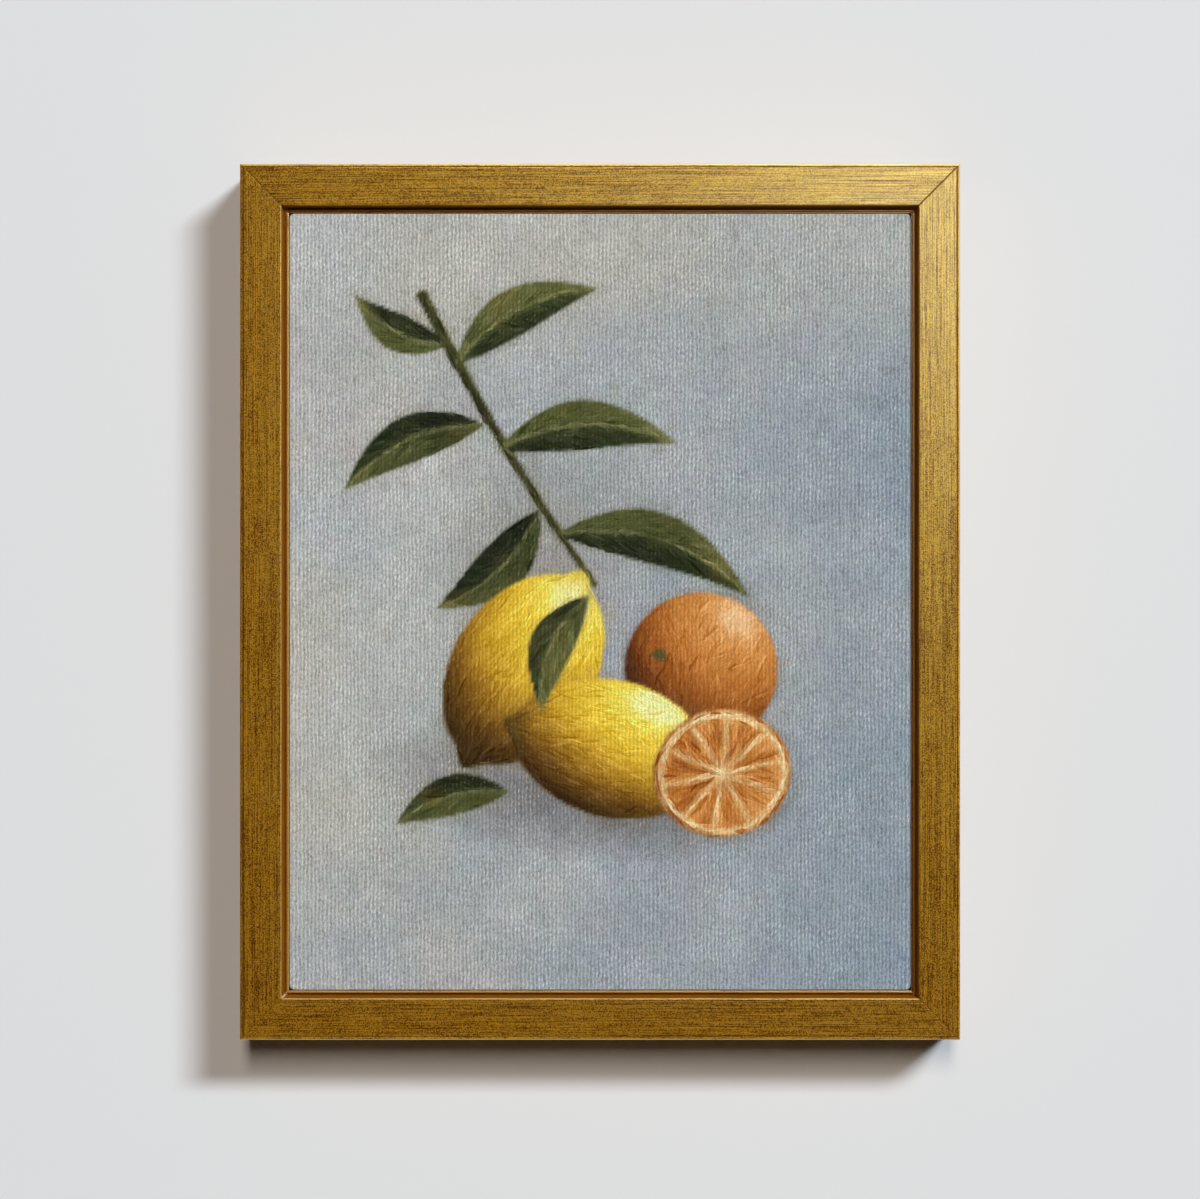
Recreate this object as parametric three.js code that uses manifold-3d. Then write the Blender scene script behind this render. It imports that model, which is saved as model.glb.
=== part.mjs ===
// A small picture on stretched canvas, screwed from behind into a gilded floater frame.
//
// The frame is four mitred rails with an L-shaped section. Its wall stands round the canvas with a
// narrow gap, and its ledge carries the canvas from behind. The canvas is one cloth, wrapped over four
// mitred stretcher bars and stapled to their backs. A sawtooth hanger and two bumpers sit on the back.
//
// Millimetres. X is to the right, Z is up and +Y points at the wall that the picture hangs on, so its
// painted face looks along -Y. The origin is the hanger's middle notch, where a nail carries it.

import * as THREE from "three";
import { mergeVertices } from "three/addons/utils/BufferGeometryUtils.js";
import Module from "manifold-3d";

const wasm = await Module();
wasm.setup();

// Driving dimensions

const CANVAS_WIDTH = 203.2; // 8 in
const CANVAS_HEIGHT = 254; // 10 in
const CANVAS_DEPTH = 19; // 3/4 in bars
const FACE_WIDTH = 13.2; // the gilded face, from its outer edge to its inner edge
const FRAME_DEPTH = 32;
const CANVAS_RECESS = 3.5; // how far the painted face lies behind the gilded one
const GAP = 2.7; // clear width from the frame's inner wall to the canvas

const OUTER_WIDTH = CANVAS_WIDTH + 2 * (GAP + FACE_WIDTH);
const OUTER_HEIGHT = CANVAS_HEIGHT + 2 * (GAP + FACE_WIDTH);
const LEDGE_THICKNESS = FRAME_DEPTH - CANVAS_RECESS - CANVAS_DEPTH;
const LEDGE_REACH = 12; // from the inner wall to the ledge's free edge
const MITRE_GAP = 0.12; // the fine line where two rails, or two bars, meet
const SEAT = 0.15; // clearance of a piece from what it sits on or in
const TOUCH = 0.05; // the same for staple crowns and bumpers, which are pressed on

// The frame's back lies on y = 0 here, and the whole group moves to the hanger's notch at the end.
const CANVAS_BACK = -LEDGE_THICKNESS - SEAT;
const CANVAS_FRONT = CANVAS_BACK - CANVAS_DEPTH;

// Rib that stands on the ledge beside the canvas, and the shadow groove between it and the wall.
// The drops are measured back from the gilded face.
const RIB_WIDTH = 0.9;
const RIB_TO_CANVAS = 0.3;
const RIB_DROP = 6.2; // to the rib's top
const GROOVE_DROP = 14; // to the groove's floor
const WALL_DRAFT = 0.45; // how far the wall leans in on its way down to the groove's floor
const OUTER_BEVEL = { width: 0.8, drop: 0.8, turn: 0.25 };
const INNER_BEVEL = { width: 0.7, drop: 0.8, turn: 0.2 };
const LEDGE_CHAMFER = 1;

const CLOTH = 0.7;
const CLOTH_RETURN = 24; // how far the cloth runs in over the backs of the bars
const CLOTH_CORNER_RADIUS = 1.3;
const CLOTH_EDGE_RADIUS = 0.6;

const BAR_WIDTH = 36;
const BAR_LIP = 3; // the outer strip of a bar that the cloth bears on
const BAR_SLOPE = 2.5; // how far the bar's front falls away behind the cloth
const BAR_CHAMFER = 1;

const SCREW = { shank: 1.6, hole: 1.9, point: 3, length: 18, inset: 5 };
const SCREW_HEAD = { radius: 3.3, rim: 1, crown: 2.3, crownHeight: 1.8, height: 2 };
const SCREW_RECESS = { arm: 1.9, width: 0.7, depth: 1.1 };
const SCREW_PLACES = { short: [-60, 60], long: [-80, 80] };

const STAPLE = { crown: 10, wire: 0.6, width: 1.2, leg: 8, inset: 16, clear: 0.2 };
const STAPLE_PLACES = { short: [-60, -20, 20, 60], long: [-88, -44, 0, 44, 88] };

const CORNER_NAIL = { leg: 5, thickness: 0.6, depth: 9, clear: 0.15, insets: [5.5, 16.5] };

const HANGER = { length: 46, height: 9, plate: 0.8, rise: 1.6, raised: 25, ramp: 2.5, inset: 4.5 };
const HANGER_FOLD = 0.4; // how much further out the upper side of the strip bends than its lower side
const TOOTH = { pitch: 2.5, count: 9, depth: 1.8, halfWidth: 1.1 };
const HANGER_NAIL = { place: 19, shank: 0.7, hole: 1, point: 1.5, length: 10 };
const HANGER_NAIL_HEAD = { radius: 1.7, rim: 0.35, height: 0.6 };
const BUMPER = { base: 5, top: 4.3, rim: 1.8, thickness: 3, fromSide: 34, fromBottom: 12 };

const HANG_HEIGHT = OUTER_HEIGHT / 2 - HANGER.inset - HANGER.height + TOOTH.depth;
const HANG_BACK = HANGER.rise + HANGER.plate / 2;

const PAST = 1; // how far a cutter runs on past the face that it opens
const FACETS = { hole: 16, screw: 20, nail: 14, nailHole: 12, bumper: 24 };
const WELD = 1e-4; // vertices nearer than this are one

// Materials

const gold = new THREE.MeshStandardMaterial({ color: 0xa57a35, roughness: 0.42, metalness: 0.85 });
const cloth = new THREE.MeshStandardMaterial({ color: 0xa9b0b8, roughness: 0.75, metalness: 0 });
const pine = new THREE.MeshStandardMaterial({ color: 0xd2b078, roughness: 0.7, metalness: 0 });
const steel = new THREE.MeshStandardMaterial({ color: 0xa8a8a6, roughness: 0.35, metalness: 1 });
const felt = new THREE.MeshStandardMaterial({ color: 0x3a332d, roughness: 0.95, metalness: 0 });

// Joining and cutting closed meshes

function solidOf(geometry) {
  const bare = geometry.index ? geometry.toNonIndexed() : geometry.clone();
  for (const extra of ["normal", "uv"]) bare.deleteAttribute(extra);
  const merged = mergeVertices(bare, WELD);
  return new wasm.Manifold(
    new wasm.Mesh({
      numProp: 3,
      vertProperties: new Float32Array(merged.attributes.position.array),
      triVerts: new Uint32Array(merged.index.array),
    }),
  );
}

function geometryOf(solid) {
  const mesh = solid.getMesh();
  const geometry = new THREE.BufferGeometry();
  geometry.setAttribute("position", new THREE.BufferAttribute(mesh.vertProperties, 3));
  geometry.setIndex(new THREE.BufferAttribute(mesh.triVerts, 1));
  const flat = geometry.toNonIndexed();
  flat.computeVertexNormals();
  return flat;
}

function cut(geometry, cutters) {
  const body = cutters.reduce((solid, cutter) => solid.subtract(solidOf(cutter)), solidOf(geometry));
  return geometryOf(body);
}

// Basic forms

function shapeOf(points) {
  return new THREE.Shape(points.map(([x, y]) => new THREE.Vector2(x, y)));
}

// A prism of an outline given as [x, z] points, between two depths.
function prism(outline, yFrom, yTo) {
  return new THREE.ExtrudeGeometry(shapeOf(outline), { depth: yTo - yFrom, bevelEnabled: false })
    .rotateX(Math.PI / 2)
    .translate(0, yTo, 0);
}

function box(xFrom, xTo, yFrom, yTo, zFrom, zTo) {
  return new THREE.BoxGeometry(xTo - xFrom, yTo - yFrom, zTo - zFrom).translate(
    (xFrom + xTo) / 2,
    (yFrom + yTo) / 2,
    (zFrom + zTo) / 2,
  );
}

// A round bar along Y at the given x and z.
function round(radius, yFrom, yTo, x, z, sides = FACETS.hole) {
  return new THREE.CylinderGeometry(radius, radius, yTo - yFrom, sides).translate(x, (yFrom + yTo) / 2, z);
}

// A turned piece about Y, from [radius, y] points that start and end on the axis.
function turned(points, sides) {
  return new THREE.LatheGeometry(
    points.map(([radius, y]) => new THREE.Vector2(radius, y)),
    sides,
  );
}

// A straight moulding along X with both ends cut at 45 degrees. The section is [y, inset] points, and
// inset is measured inwards from the moulding's outer edge, which lies on z = 0.
function mitred(section, length) {
  const geometry = new THREE.ExtrudeGeometry(shapeOf(section), { depth: 1, bevelEnabled: false });
  const alongX = new THREE.Matrix4().makeBasis(
    new THREE.Vector3(0, 1, 0),
    new THREE.Vector3(0, 0, 1),
    new THREE.Vector3(1, 0, 0),
  );
  geometry.applyMatrix4(alongX);
  const at = geometry.getAttribute("position");
  for (let i = 0; i < at.count; i++) {
    const reach = length / 2 - at.getZ(i) - MITRE_GAP / Math.SQRT2;
    at.setX(i, at.getX(i) > 0 ? reach : -reach);
  }
  return geometry;
}

// The four sides

// Each side is modelled as the bottom one and turned about Y, so that its insets point inwards.
const SIDES = {
  bottom: { turn: 0, towards: [0, -1], along: "short" },
  right: { turn: -Math.PI / 2, towards: [1, 0], along: "long" },
  top: { turn: Math.PI, towards: [0, 1], along: "short" },
  left: { turn: Math.PI / 2, towards: [-1, 0], along: "long" },
};

// A group at the middle of one outer edge of a width by height rectangle, turned as that side is.
function sideGroup(side, width, height) {
  const { turn, towards } = SIDES[side];
  const group = new THREE.Group();
  group.rotation.y = turn;
  group.position.set((towards[0] * width) / 2, 0, (towards[1] * height) / 2);
  return group;
}

function addMesh(parent, name, geometry, material) {
  const mesh = new THREE.Mesh(geometry, material);
  mesh.name = name;
  parent.add(mesh);
  return mesh;
}

// Frame rails

function railSection() {
  const face = -FRAME_DEPTH;
  const wall = FACE_WIDTH;
  const ribInner = wall + GAP - RIB_TO_CANVAS;
  const ribOuter = ribInner - RIB_WIDTH;
  const ledgeEdge = wall + LEDGE_REACH;
  return [
    [0, 0],
    [face + OUTER_BEVEL.drop, 0],
    [face + OUTER_BEVEL.turn, OUTER_BEVEL.turn],
    [face, OUTER_BEVEL.width],
    [face, wall - INNER_BEVEL.width],
    [face + INNER_BEVEL.turn, wall - INNER_BEVEL.turn],
    [face + INNER_BEVEL.drop, wall],
    [face + GROOVE_DROP, wall + WALL_DRAFT],
    [face + GROOVE_DROP, ribOuter],
    [face + RIB_DROP, ribOuter],
    [face + RIB_DROP, ribInner],
    [-LEDGE_THICKNESS, ribInner],
    [-LEDGE_THICKNESS, ledgeEdge],
    [-LEDGE_CHAMFER, ledgeEdge],
    [0, ledgeEdge - LEDGE_CHAMFER],
  ];
}

// The V of a corner nail: two legs from a point on the mitre, one into each rail. Signs say which way
// the legs run, and grow widens it all round for its slot.
function cornerNailOutline(x, z, signX, signZ, grow) {
  const half = CORNER_NAIL.thickness / 2 + grow;
  const tip = CORNER_NAIL.leg + grow;
  const points = [
    [-half, -half],
    [tip, -half],
    [tip, half],
    [half, half],
    [half, tip],
    [-half, tip],
  ];
  return points.map(([a, b]) => [x + signX * a, z + signZ * b]);
}

function cornerNailSlots(length) {
  const { depth, clear, insets } = CORNER_NAIL;
  return insets.flatMap((inset) =>
    [1, -1].map((sign) => {
      const outline = cornerNailOutline(-sign * (length / 2 - inset), inset, sign, 1, clear);
      return prism(outline, -depth - clear, PAST);
    }),
  );
}

const SCREW_INSET_IN_RAIL = FACE_WIDTH + GAP + SCREW.inset;

function makeRail(side) {
  const { along } = SIDES[side];
  const length = along === "short" ? OUTER_WIDTH : OUTER_HEIGHT;
  const cutters = cornerNailSlots(length);
  for (const x of SCREW_PLACES[along]) {
    cutters.push(round(SCREW.hole, -LEDGE_THICKNESS - PAST, PAST, x, SCREW_INSET_IN_RAIL));
  }
  if (side === "top") {
    const { place, hole, length: depth } = HANGER_NAIL;
    const height = HANGER.inset + HANGER.height / 2;
    for (const x of [-place, place]) {
      cutters.push(round(hole, -depth - SEAT, PAST, x, height, FACETS.nailHole));
    }
  }
  return cut(mitred(railSection(), length), cutters);
}

// Stretcher bars

const BAR_FRONT = CANVAS_FRONT + CLOTH + SEAT;
const BAR_BACK = CANVAS_BACK - CLOTH - SEAT;
const BAR_OUTER_INSET = CLOTH + SEAT; // from the canvas's edge to the bar's outer side
const BARS_WIDTH = CANVAS_WIDTH - 2 * BAR_OUTER_INSET;
const BARS_HEIGHT = CANVAS_HEIGHT - 2 * BAR_OUTER_INSET;

function barSection() {
  return [
    [BAR_BACK, 0],
    [BAR_FRONT + BAR_CHAMFER, 0],
    [BAR_FRONT, BAR_CHAMFER],
    [BAR_FRONT, BAR_LIP],
    [BAR_FRONT + BAR_SLOPE, BAR_WIDTH - BAR_CHAMFER],
    [BAR_FRONT + BAR_SLOPE + BAR_CHAMFER, BAR_WIDTH],
    [BAR_BACK - BAR_CHAMFER, BAR_WIDTH],
    [BAR_BACK, BAR_WIDTH - BAR_CHAMFER],
  ];
}

// The two holes that a staple's legs take, in a side's own frame.
function stapleHoles(x, inset) {
  const { crown, wire, width, leg, clear } = STAPLE;
  const middle = (crown - wire) / 2;
  const halfAlong = wire / 2 + clear;
  const halfAcross = width / 2 + clear;
  const [yFrom, yTo] = [CANVAS_BACK - leg - clear, CANVAS_BACK + PAST];
  return [x - middle, x + middle].map((at) =>
    box(at - halfAlong, at + halfAlong, yFrom, yTo, inset - halfAcross, inset + halfAcross),
  );
}

function makeBar(side) {
  const { along } = SIDES[side];
  const length = along === "short" ? BARS_WIDTH : BARS_HEIGHT;
  const screwEnd = -SCREW.length - SEAT;
  const cutters = SCREW_PLACES[along].map((x) =>
    round(SCREW.hole, screwEnd, BAR_BACK + PAST, x, SCREW.inset - BAR_OUTER_INSET),
  );
  for (const x of STAPLE_PLACES[along]) {
    cutters.push(...stapleHoles(x, STAPLE.inset - BAR_OUTER_INSET));
  }
  return cut(mitred(barSection(), length), cutters);
}

// Canvas cloth

function roundedRectangle(width, height, radius) {
  const [x, z] = [width / 2 - radius, height / 2 - radius];
  const shape = new THREE.Shape();
  shape.moveTo(-x, -z - radius);
  shape.lineTo(x, -z - radius);
  shape.absarc(x, -z, radius, -Math.PI / 2, 0);
  shape.lineTo(x + radius, z);
  shape.absarc(x, z, radius, 0, Math.PI / 2);
  shape.lineTo(-x, z + radius);
  shape.absarc(-x, z, radius, Math.PI / 2, Math.PI);
  shape.lineTo(-x - radius, -z);
  shape.absarc(-x, -z, radius, Math.PI, 1.5 * Math.PI);
  return shape;
}

// A cutter that is given in a side's own frame, moved to where that side is on the canvas.
function atSide(side, cutter) {
  const group = sideGroup(side, CANVAS_WIDTH, CANVAS_HEIGHT);
  group.updateMatrix();
  return cutter.applyMatrix4(group.matrix);
}

function makeCloth() {
  const wrapped = new THREE.ExtrudeGeometry(
    roundedRectangle(CANVAS_WIDTH, CANVAS_HEIGHT, CLOTH_CORNER_RADIUS),
    {
      depth: CANVAS_DEPTH - 2 * CLOTH_EDGE_RADIUS,
      bevelThickness: CLOTH_EDGE_RADIUS,
      bevelSize: CLOTH_EDGE_RADIUS,
      bevelOffset: -CLOTH_EDGE_RADIUS,
      bevelSegments: 3,
      curveSegments: 4,
    },
  )
    .rotateX(Math.PI / 2)
    .translate(0, CANVAS_BACK - CLOTH_EDGE_RADIUS, 0);
  const [insideX, insideZ] = [CANVAS_WIDTH / 2 - CLOTH, CANVAS_HEIGHT / 2 - CLOTH];
  const [openX, openZ] = [CANVAS_WIDTH / 2 - CLOTH_RETURN, CANVAS_HEIGHT / 2 - CLOTH_RETURN];
  const throughBack = [CANVAS_BACK - 2 * CLOTH, CANVAS_BACK + PAST];
  const cutters = [
    box(-insideX, insideX, CANVAS_FRONT + CLOTH, CANVAS_BACK - CLOTH, -insideZ, insideZ),
    box(-openX, openX, ...throughBack, -openZ, openZ),
  ];
  for (const [side, { along }] of Object.entries(SIDES)) {
    for (const x of SCREW_PLACES[along]) {
      cutters.push(atSide(side, round(SCREW.hole, ...throughBack, x, SCREW.inset)));
    }
    for (const x of STAPLE_PLACES[along]) {
      cutters.push(...stapleHoles(x, STAPLE.inset).map((hole) => atSide(side, hole)));
    }
  }
  return cut(wrapped, cutters);
}

// Fasteners

// A pan-head screw along Y: its head stands on the frame's back and its point is inside a bar.
function makeScrew() {
  const { radius, rim, crown, crownHeight, height } = SCREW_HEAD;
  const body = turned(
    [
      [0, -SCREW.length],
      [SCREW.shank, SCREW.point - SCREW.length],
      [SCREW.shank, SEAT],
      [radius, SEAT],
      [radius, SEAT + rim],
      [crown, SEAT + crownHeight],
      [0, SEAT + height],
    ],
    FACETS.screw,
  );
  const { arm, width, depth } = SCREW_RECESS;
  const [floor, top] = [SEAT + height - depth, SEAT + height + PAST];
  return cut(body, [
    box(-arm, arm, floor, top, -width / 2, width / 2),
    box(-width / 2, width / 2, floor, top, -arm, arm),
  ]);
}

// A staple whose crown lies along X on the cloth's back.
function makeStaple() {
  const { crown, wire, width, leg } = STAPLE;
  const half = crown / 2;
  const tip = CANVAS_BACK - leg;
  const under = CANVAS_BACK + TOUCH;
  const outline = shapeOf([
    [-half, tip],
    [-half + wire, tip],
    [-half + wire, under],
    [half - wire, under],
    [half - wire, tip],
    [half, tip],
    [half, under + wire],
    [-half, under + wire],
  ]);
  const bent = new THREE.ExtrudeGeometry(outline, { depth: width, bevelEnabled: false });
  return bent.translate(0, 0, -width / 2);
}

function makeHangerNail() {
  const { shank, point, length } = HANGER_NAIL;
  const { radius, rim, height } = HANGER_NAIL_HEAD;
  const under = HANGER.plate + 2 * SEAT;
  return turned(
    [
      [0, -length],
      [shank, point - length],
      [shank, under],
      [radius, under],
      [radius, under + rim],
      [0, under + height],
    ],
    FACETS.nail,
  );
}

// Hanger and bumpers

// A stamped strip whose raised middle has a row of notches in its lower edge, which is z = 0.
function makeHanger() {
  const { length, height, plate, rise, raised, ramp } = HANGER;
  const [end, foot, shoulder] = [length / 2, raised / 2 + ramp, raised / 2];
  const right = [
    [shoulder, rise],
    [foot, SEAT],
    [end, SEAT],
    [end, SEAT + plate],
    [foot + HANGER_FOLD, SEAT + plate],
    [shoulder + HANGER_FOLD, rise + plate],
  ];
  const left = right.map(([x, y]) => [-x, y]).reverse();
  const strip = new THREE.ExtrudeGeometry(shapeOf([...right, ...left]), {
    depth: height,
    bevelEnabled: false,
  });
  const above = rise + plate + PAST;
  const cutters = [-HANGER_NAIL.place, HANGER_NAIL.place].map((x) =>
    round(HANGER_NAIL.hole, -PAST, above, x, height / 2, FACETS.nailHole),
  );
  const mouth = TOOTH.halfWidth * (1 + PAST / TOOTH.depth);
  for (let i = 0; i < TOOTH.count; i++) {
    const x = (i - (TOOTH.count - 1) / 2) * TOOTH.pitch;
    const notch = [
      [x - mouth, -PAST],
      [x + mouth, -PAST],
      [x, TOOTH.depth],
    ];
    cutters.push(prism(notch, 0, above));
  }
  return cut(strip, cutters);
}

function makeBumper() {
  const { base, top, rim, thickness } = BUMPER;
  return turned(
    [
      [0, TOUCH],
      [base, TOUCH],
      [base, rim],
      [top, thickness],
      [0, thickness],
    ],
    FACETS.bumper,
  );
}

// Assembly

const picture = new THREE.Group();

for (const [side, { along }] of Object.entries(SIDES)) {
  const rail = sideGroup(side, OUTER_WIDTH, OUTER_HEIGHT);
  addMesh(rail, `rail_${side}`, makeRail(side), gold);
  SCREW_PLACES[along].forEach((x, i) => {
    const screw = addMesh(rail, `screw_${side}_${i + 1}`, makeScrew(), steel);
    screw.position.set(x, 0, SCREW_INSET_IN_RAIL);
  });

  const bar = sideGroup(side, BARS_WIDTH, BARS_HEIGHT);
  addMesh(bar, `stretcher_bar_${side}`, makeBar(side), pine);
  STAPLE_PLACES[along].forEach((x, i) => {
    const staple = addMesh(bar, `staple_${side}_${i + 1}`, makeStaple(), steel);
    staple.position.set(x, 0, STAPLE.inset - BAR_OUTER_INSET);
  });
  picture.add(rail, bar);
}

addMesh(picture, "canvas", makeCloth(), cloth);

for (const [vertical, signZ] of [["bottom", 1], ["top", -1]]) {
  for (const [horizontal, signX] of [["left", 1], ["right", -1]]) {
    CORNER_NAIL.insets.forEach((inset, i) => {
      const x = -signX * (OUTER_WIDTH / 2 - inset);
      const z = -signZ * (OUTER_HEIGHT / 2 - inset);
      const outline = cornerNailOutline(x, z, signX, signZ, 0);
      const nail = prism(outline, -CORNER_NAIL.depth, -CORNER_NAIL.clear);
      addMesh(picture, `corner_nail_${vertical}_${horizontal}_${i + 1}`, nail, steel);
    });
  }
}

const hanger = new THREE.Group();
hanger.position.z = HANG_HEIGHT - TOOTH.depth;
addMesh(hanger, "sawtooth_hanger", makeHanger(), steel);
for (const [name, x] of [["left", -HANGER_NAIL.place], ["right", HANGER_NAIL.place]]) {
  const nail = addMesh(hanger, `hanger_nail_${name}`, makeHangerNail(), steel);
  nail.position.set(x, 0, HANGER.height / 2);
}
picture.add(hanger);

for (const [name, sign] of [["left", -1], ["right", 1]]) {
  const bumper = addMesh(picture, `bumper_${name}`, makeBumper(), felt);
  bumper.position.set(sign * (OUTER_WIDTH / 2 - BUMPER.fromSide), 0, BUMPER.fromBottom - OUTER_HEIGHT / 2);
}

picture.position.set(0, -HANG_BACK, -HANG_HEIGHT);

const part = new THREE.Group();
part.add(picture);

export default part;
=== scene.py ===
"""A small stretched canvas in a gilded floater frame, hung on a wall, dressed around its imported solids."""

import functools

import bpy
import numpy as np
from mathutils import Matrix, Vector
from bpy.props import FloatProperty, FloatVectorProperty, IntProperty, PointerProperty


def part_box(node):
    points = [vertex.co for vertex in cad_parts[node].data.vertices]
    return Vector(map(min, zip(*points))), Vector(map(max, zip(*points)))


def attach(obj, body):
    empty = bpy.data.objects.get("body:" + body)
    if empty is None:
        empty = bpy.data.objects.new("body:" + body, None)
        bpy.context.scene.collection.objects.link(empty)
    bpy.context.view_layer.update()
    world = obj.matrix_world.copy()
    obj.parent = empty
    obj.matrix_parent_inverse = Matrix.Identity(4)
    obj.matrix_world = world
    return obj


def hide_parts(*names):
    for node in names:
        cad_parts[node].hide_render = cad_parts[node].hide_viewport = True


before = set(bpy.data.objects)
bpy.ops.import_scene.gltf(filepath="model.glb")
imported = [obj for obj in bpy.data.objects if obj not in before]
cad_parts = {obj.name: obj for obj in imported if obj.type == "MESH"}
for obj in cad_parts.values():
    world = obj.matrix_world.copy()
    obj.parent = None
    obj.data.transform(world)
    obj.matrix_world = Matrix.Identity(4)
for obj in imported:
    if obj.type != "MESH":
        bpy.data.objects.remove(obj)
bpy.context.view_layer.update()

bl_info = {
    "name": "Framed canvas painting",
    "version": (1, 0, 0),
    "blender": (4, 5, 0),
    "location": "3D View > Sidebar > Painting",
    "description": "A stretched canvas with a still life, in a gilded floater frame",
    "category": "Object",
}

MM = 0.001
SIDES = ("bottom", "right", "top", "left")
UPRIGHT = ("left", "right")
PIECE_BODY = "root"

# The rail's section in millimetres: depths from the wall side, negative towards the front, and insets
# from the rail's outer side.
BACK, LEDGE, FRONT = -2.0, -11.5, -34.0
WALL_FOOT, GROOVE_FLOOR, RIB_TOP = -28.9, -28.1, -30.6
WALL_INSET, GROOVE_INSET, RIB_INSET, LEDGE_INSET = 14.38, 14.42, 15.76, 25.2

# Points of each eased corner, and how far beside it a flat stretch is held flat, in millimetres.
EASE_POINTS, SUPPORT = 4, 0.06

# How far forward the hand-finished front begins and the depth over which it fades in, the lengths of its
# waves along the rail, and how far from a mitre the face falls away, in metres.
HAND_START, HAND_FADE, SWAY_CELL, DIP_CELL, MITRE_REACH = 0.018, 0.01, 0.014, 0.009, 0.00025

# Where a rail's finish changes, in metres: depths in front of the wall side, and insets.
WALL_TOP, FACE_EDGE, LIP_FOOT, FOOT_TOP, BEAD_FOOT = 0.0336, 0.0335, 0.0334, 0.0325, 0.0279
BEAD_INSET, BEAD_TOP_INSET, OUTER_INSET = 0.0149, 0.0154, 0.0003

# The lengths over which the outer side's grime, the inner wall, the painted shade at the wall's foot, the
# pale chip that paints a glint at a mitre, and the lip's rub and painted highlight fade, in metres.
OUTER_FADE, WALL_FADE, FOOT_FADE, GLINT_FADE, LIP_FADE = 0.0004, 0.0006, 0.0036, 0.0006, 0.0002

# How much grime and painted shade each rail has in its scored line, and how much rub and painted highlight
# its outer edge has. The right rail's edge takes the painted sheen towards the upper right corner.
SCORE_GRIME_AND_SHADE = {"bottom": 0.4, "right": 0.25, "top": 0.25, "left": 0.62}
RIM_RUB_AND_HIGHLIGHT = {"bottom": 1.0, "top": 0.3, "left": 0.0}

# How far from the upper right corner the painted sheen reaches, paler and cleaner gold, in metres.
SHEEN_REACH = 0.12

# The wall's distance behind the frame, how far wall and floor reach, and the floor's height, in metres.
WALL_GAP, WALL_REACH, FLOOR = 0.0031, 2.5, -1.3


def linear_light(levels):
    """Scene linear values for colour levels from 0 to 255, by the sRGB curve."""
    part = np.clip(np.asarray(levels, float) / 255, 0, 1)
    return np.where(part <= 0.04045, part / 12.92, ((part + 0.055) / 1.055) ** 2.4)


def light_values(*levels):
    """Linear values of one colour, as plain numbers."""
    return tuple(linear_light(levels).tolist())


def node_box(names):
    """Lowest and highest corner of several CAD nodes together, as two arrays in metres."""
    boxes = [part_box(name) for name in names]
    low = np.min([np.array(box[0]) for box in boxes], axis=0)
    high = np.max([np.array(box[1]) for box in boxes], axis=0)
    return low, high


FRAME_LOW, FRAME_HIGH = node_box([f"rail_{side}" for side in SIDES])
CLOTH_LOW, CLOTH_HIGH = node_box(["canvas"])
MIDDLE = (FRAME_LOW + FRAME_HIGH) / 2


def length(text, default, about, low=0.0):
    """A length setting, given in millimetres and kept in metres."""
    return FloatProperty(name=text, default=default * MM, min=low, unit="LENGTH", precision=5,
                         description=about)


def paint(text, levels, about):
    """A colour setting, given in levels from 0 to 255."""
    return FloatVectorProperty(name=text, default=light_values(*levels), size=3, min=0.0, max=1.0,
                               subtype="COLOR", description=about)


def light_power(text, default, about):
    """The power of a light."""
    return FloatProperty(name=text, default=default, min=0.0, unit="POWER", description=about)


class PAINTING_PG_rails(bpy.types.PropertyGroup):
    """Sizes and colours of the four gilded rails."""

    face: length("Face width", 13.45, "Width of the flat gilded face")
    lip_round: length("Lip round", 0.3, "Rounding of the face's inner edge")
    chamfer: length("Chamfer", 0.46, "Width of the slope at the face's outer edge")
    rib: length("Rib", 0.72, "Width of the rib beside the canvas")
    score_inset: length("Score inset", 1.0, "How far the scored line lies from the outer edge")
    score_width: length("Score width", 0.55, "Width of the scored line")
    score_depth: length("Score depth", 0.16, "Depth of the scored line")
    mitre_gap: length("Mitre gap", 0.03, "Gap between two rails at a corner")
    mitre_ease: length("Mitre ease", 0.05, "How far the face falls away beside a mitre")
    waver: length("Waver", 0.04, "How far the hand-finished edges stray")
    station: length("Station", 1.3, "Distance between two sections along a rail", 0.0001)
    gold: paint("Gold", (235, 187, 52), "Gold leaf and powder in the light")
    glaze: paint("Glaze", (126, 75, 1), "Brown glaze over the gold")
    # The bole also paints shade at the wall's foot, in the scored line and on the rib of the top and right
    # rails.
    bole: paint("Bole", (64, 28, 1), "Dark ground in scratches, specks and corners")
    # Bright gold paints the highlights on the lit edges and rib and the sheen towards the upper right, with
    # some rub.
    bright: paint("Bright gold", (250, 228, 158), "Paler gold where it is rubbed or most worn")
    ember: paint("Ember gold", (188, 116, 28), "Redder gold of the inner walls and groove")
    # Gesso also paints the glint at the lower left mitre, as a chip.
    gesso: paint("Gesso", (226, 210, 176), "Pale ground where the gold has chipped")
    wood: paint("Bare wood", (196, 158, 112), "Unfinished back of the rails")


class PAINTING_PG_canvas(bpy.types.PropertyGroup):
    """Sizes and colours of the stretched cloth."""

    thickness: length("Cloth thickness", 0.7, "Cloth with its priming and paint")
    back_return: length("Return", 24.0, "How far the cloth is folded onto the back of the bars")
    corner: length("Corner round", 1.6, "Rounding of the canvas's four corners")
    edge: length("Edge round", 0.45, "Rounding of the edge round the painted face")
    pitch: length("Grid pitch", 0.87, "Distance between two points of the painted face", 0.0004)
    thread: length("Thread pitch", 1.27, "Distance between two ridges of the weave", 0.0001)
    sag: length("Sag", 0.12, "How far the middle of the face lies back")
    priming: paint("Priming", (222, 218, 208), "White priming on the folded edges")
    raw: paint("Raw cloth", (186, 168, 134), "Unprimed back of the cloth")


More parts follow.
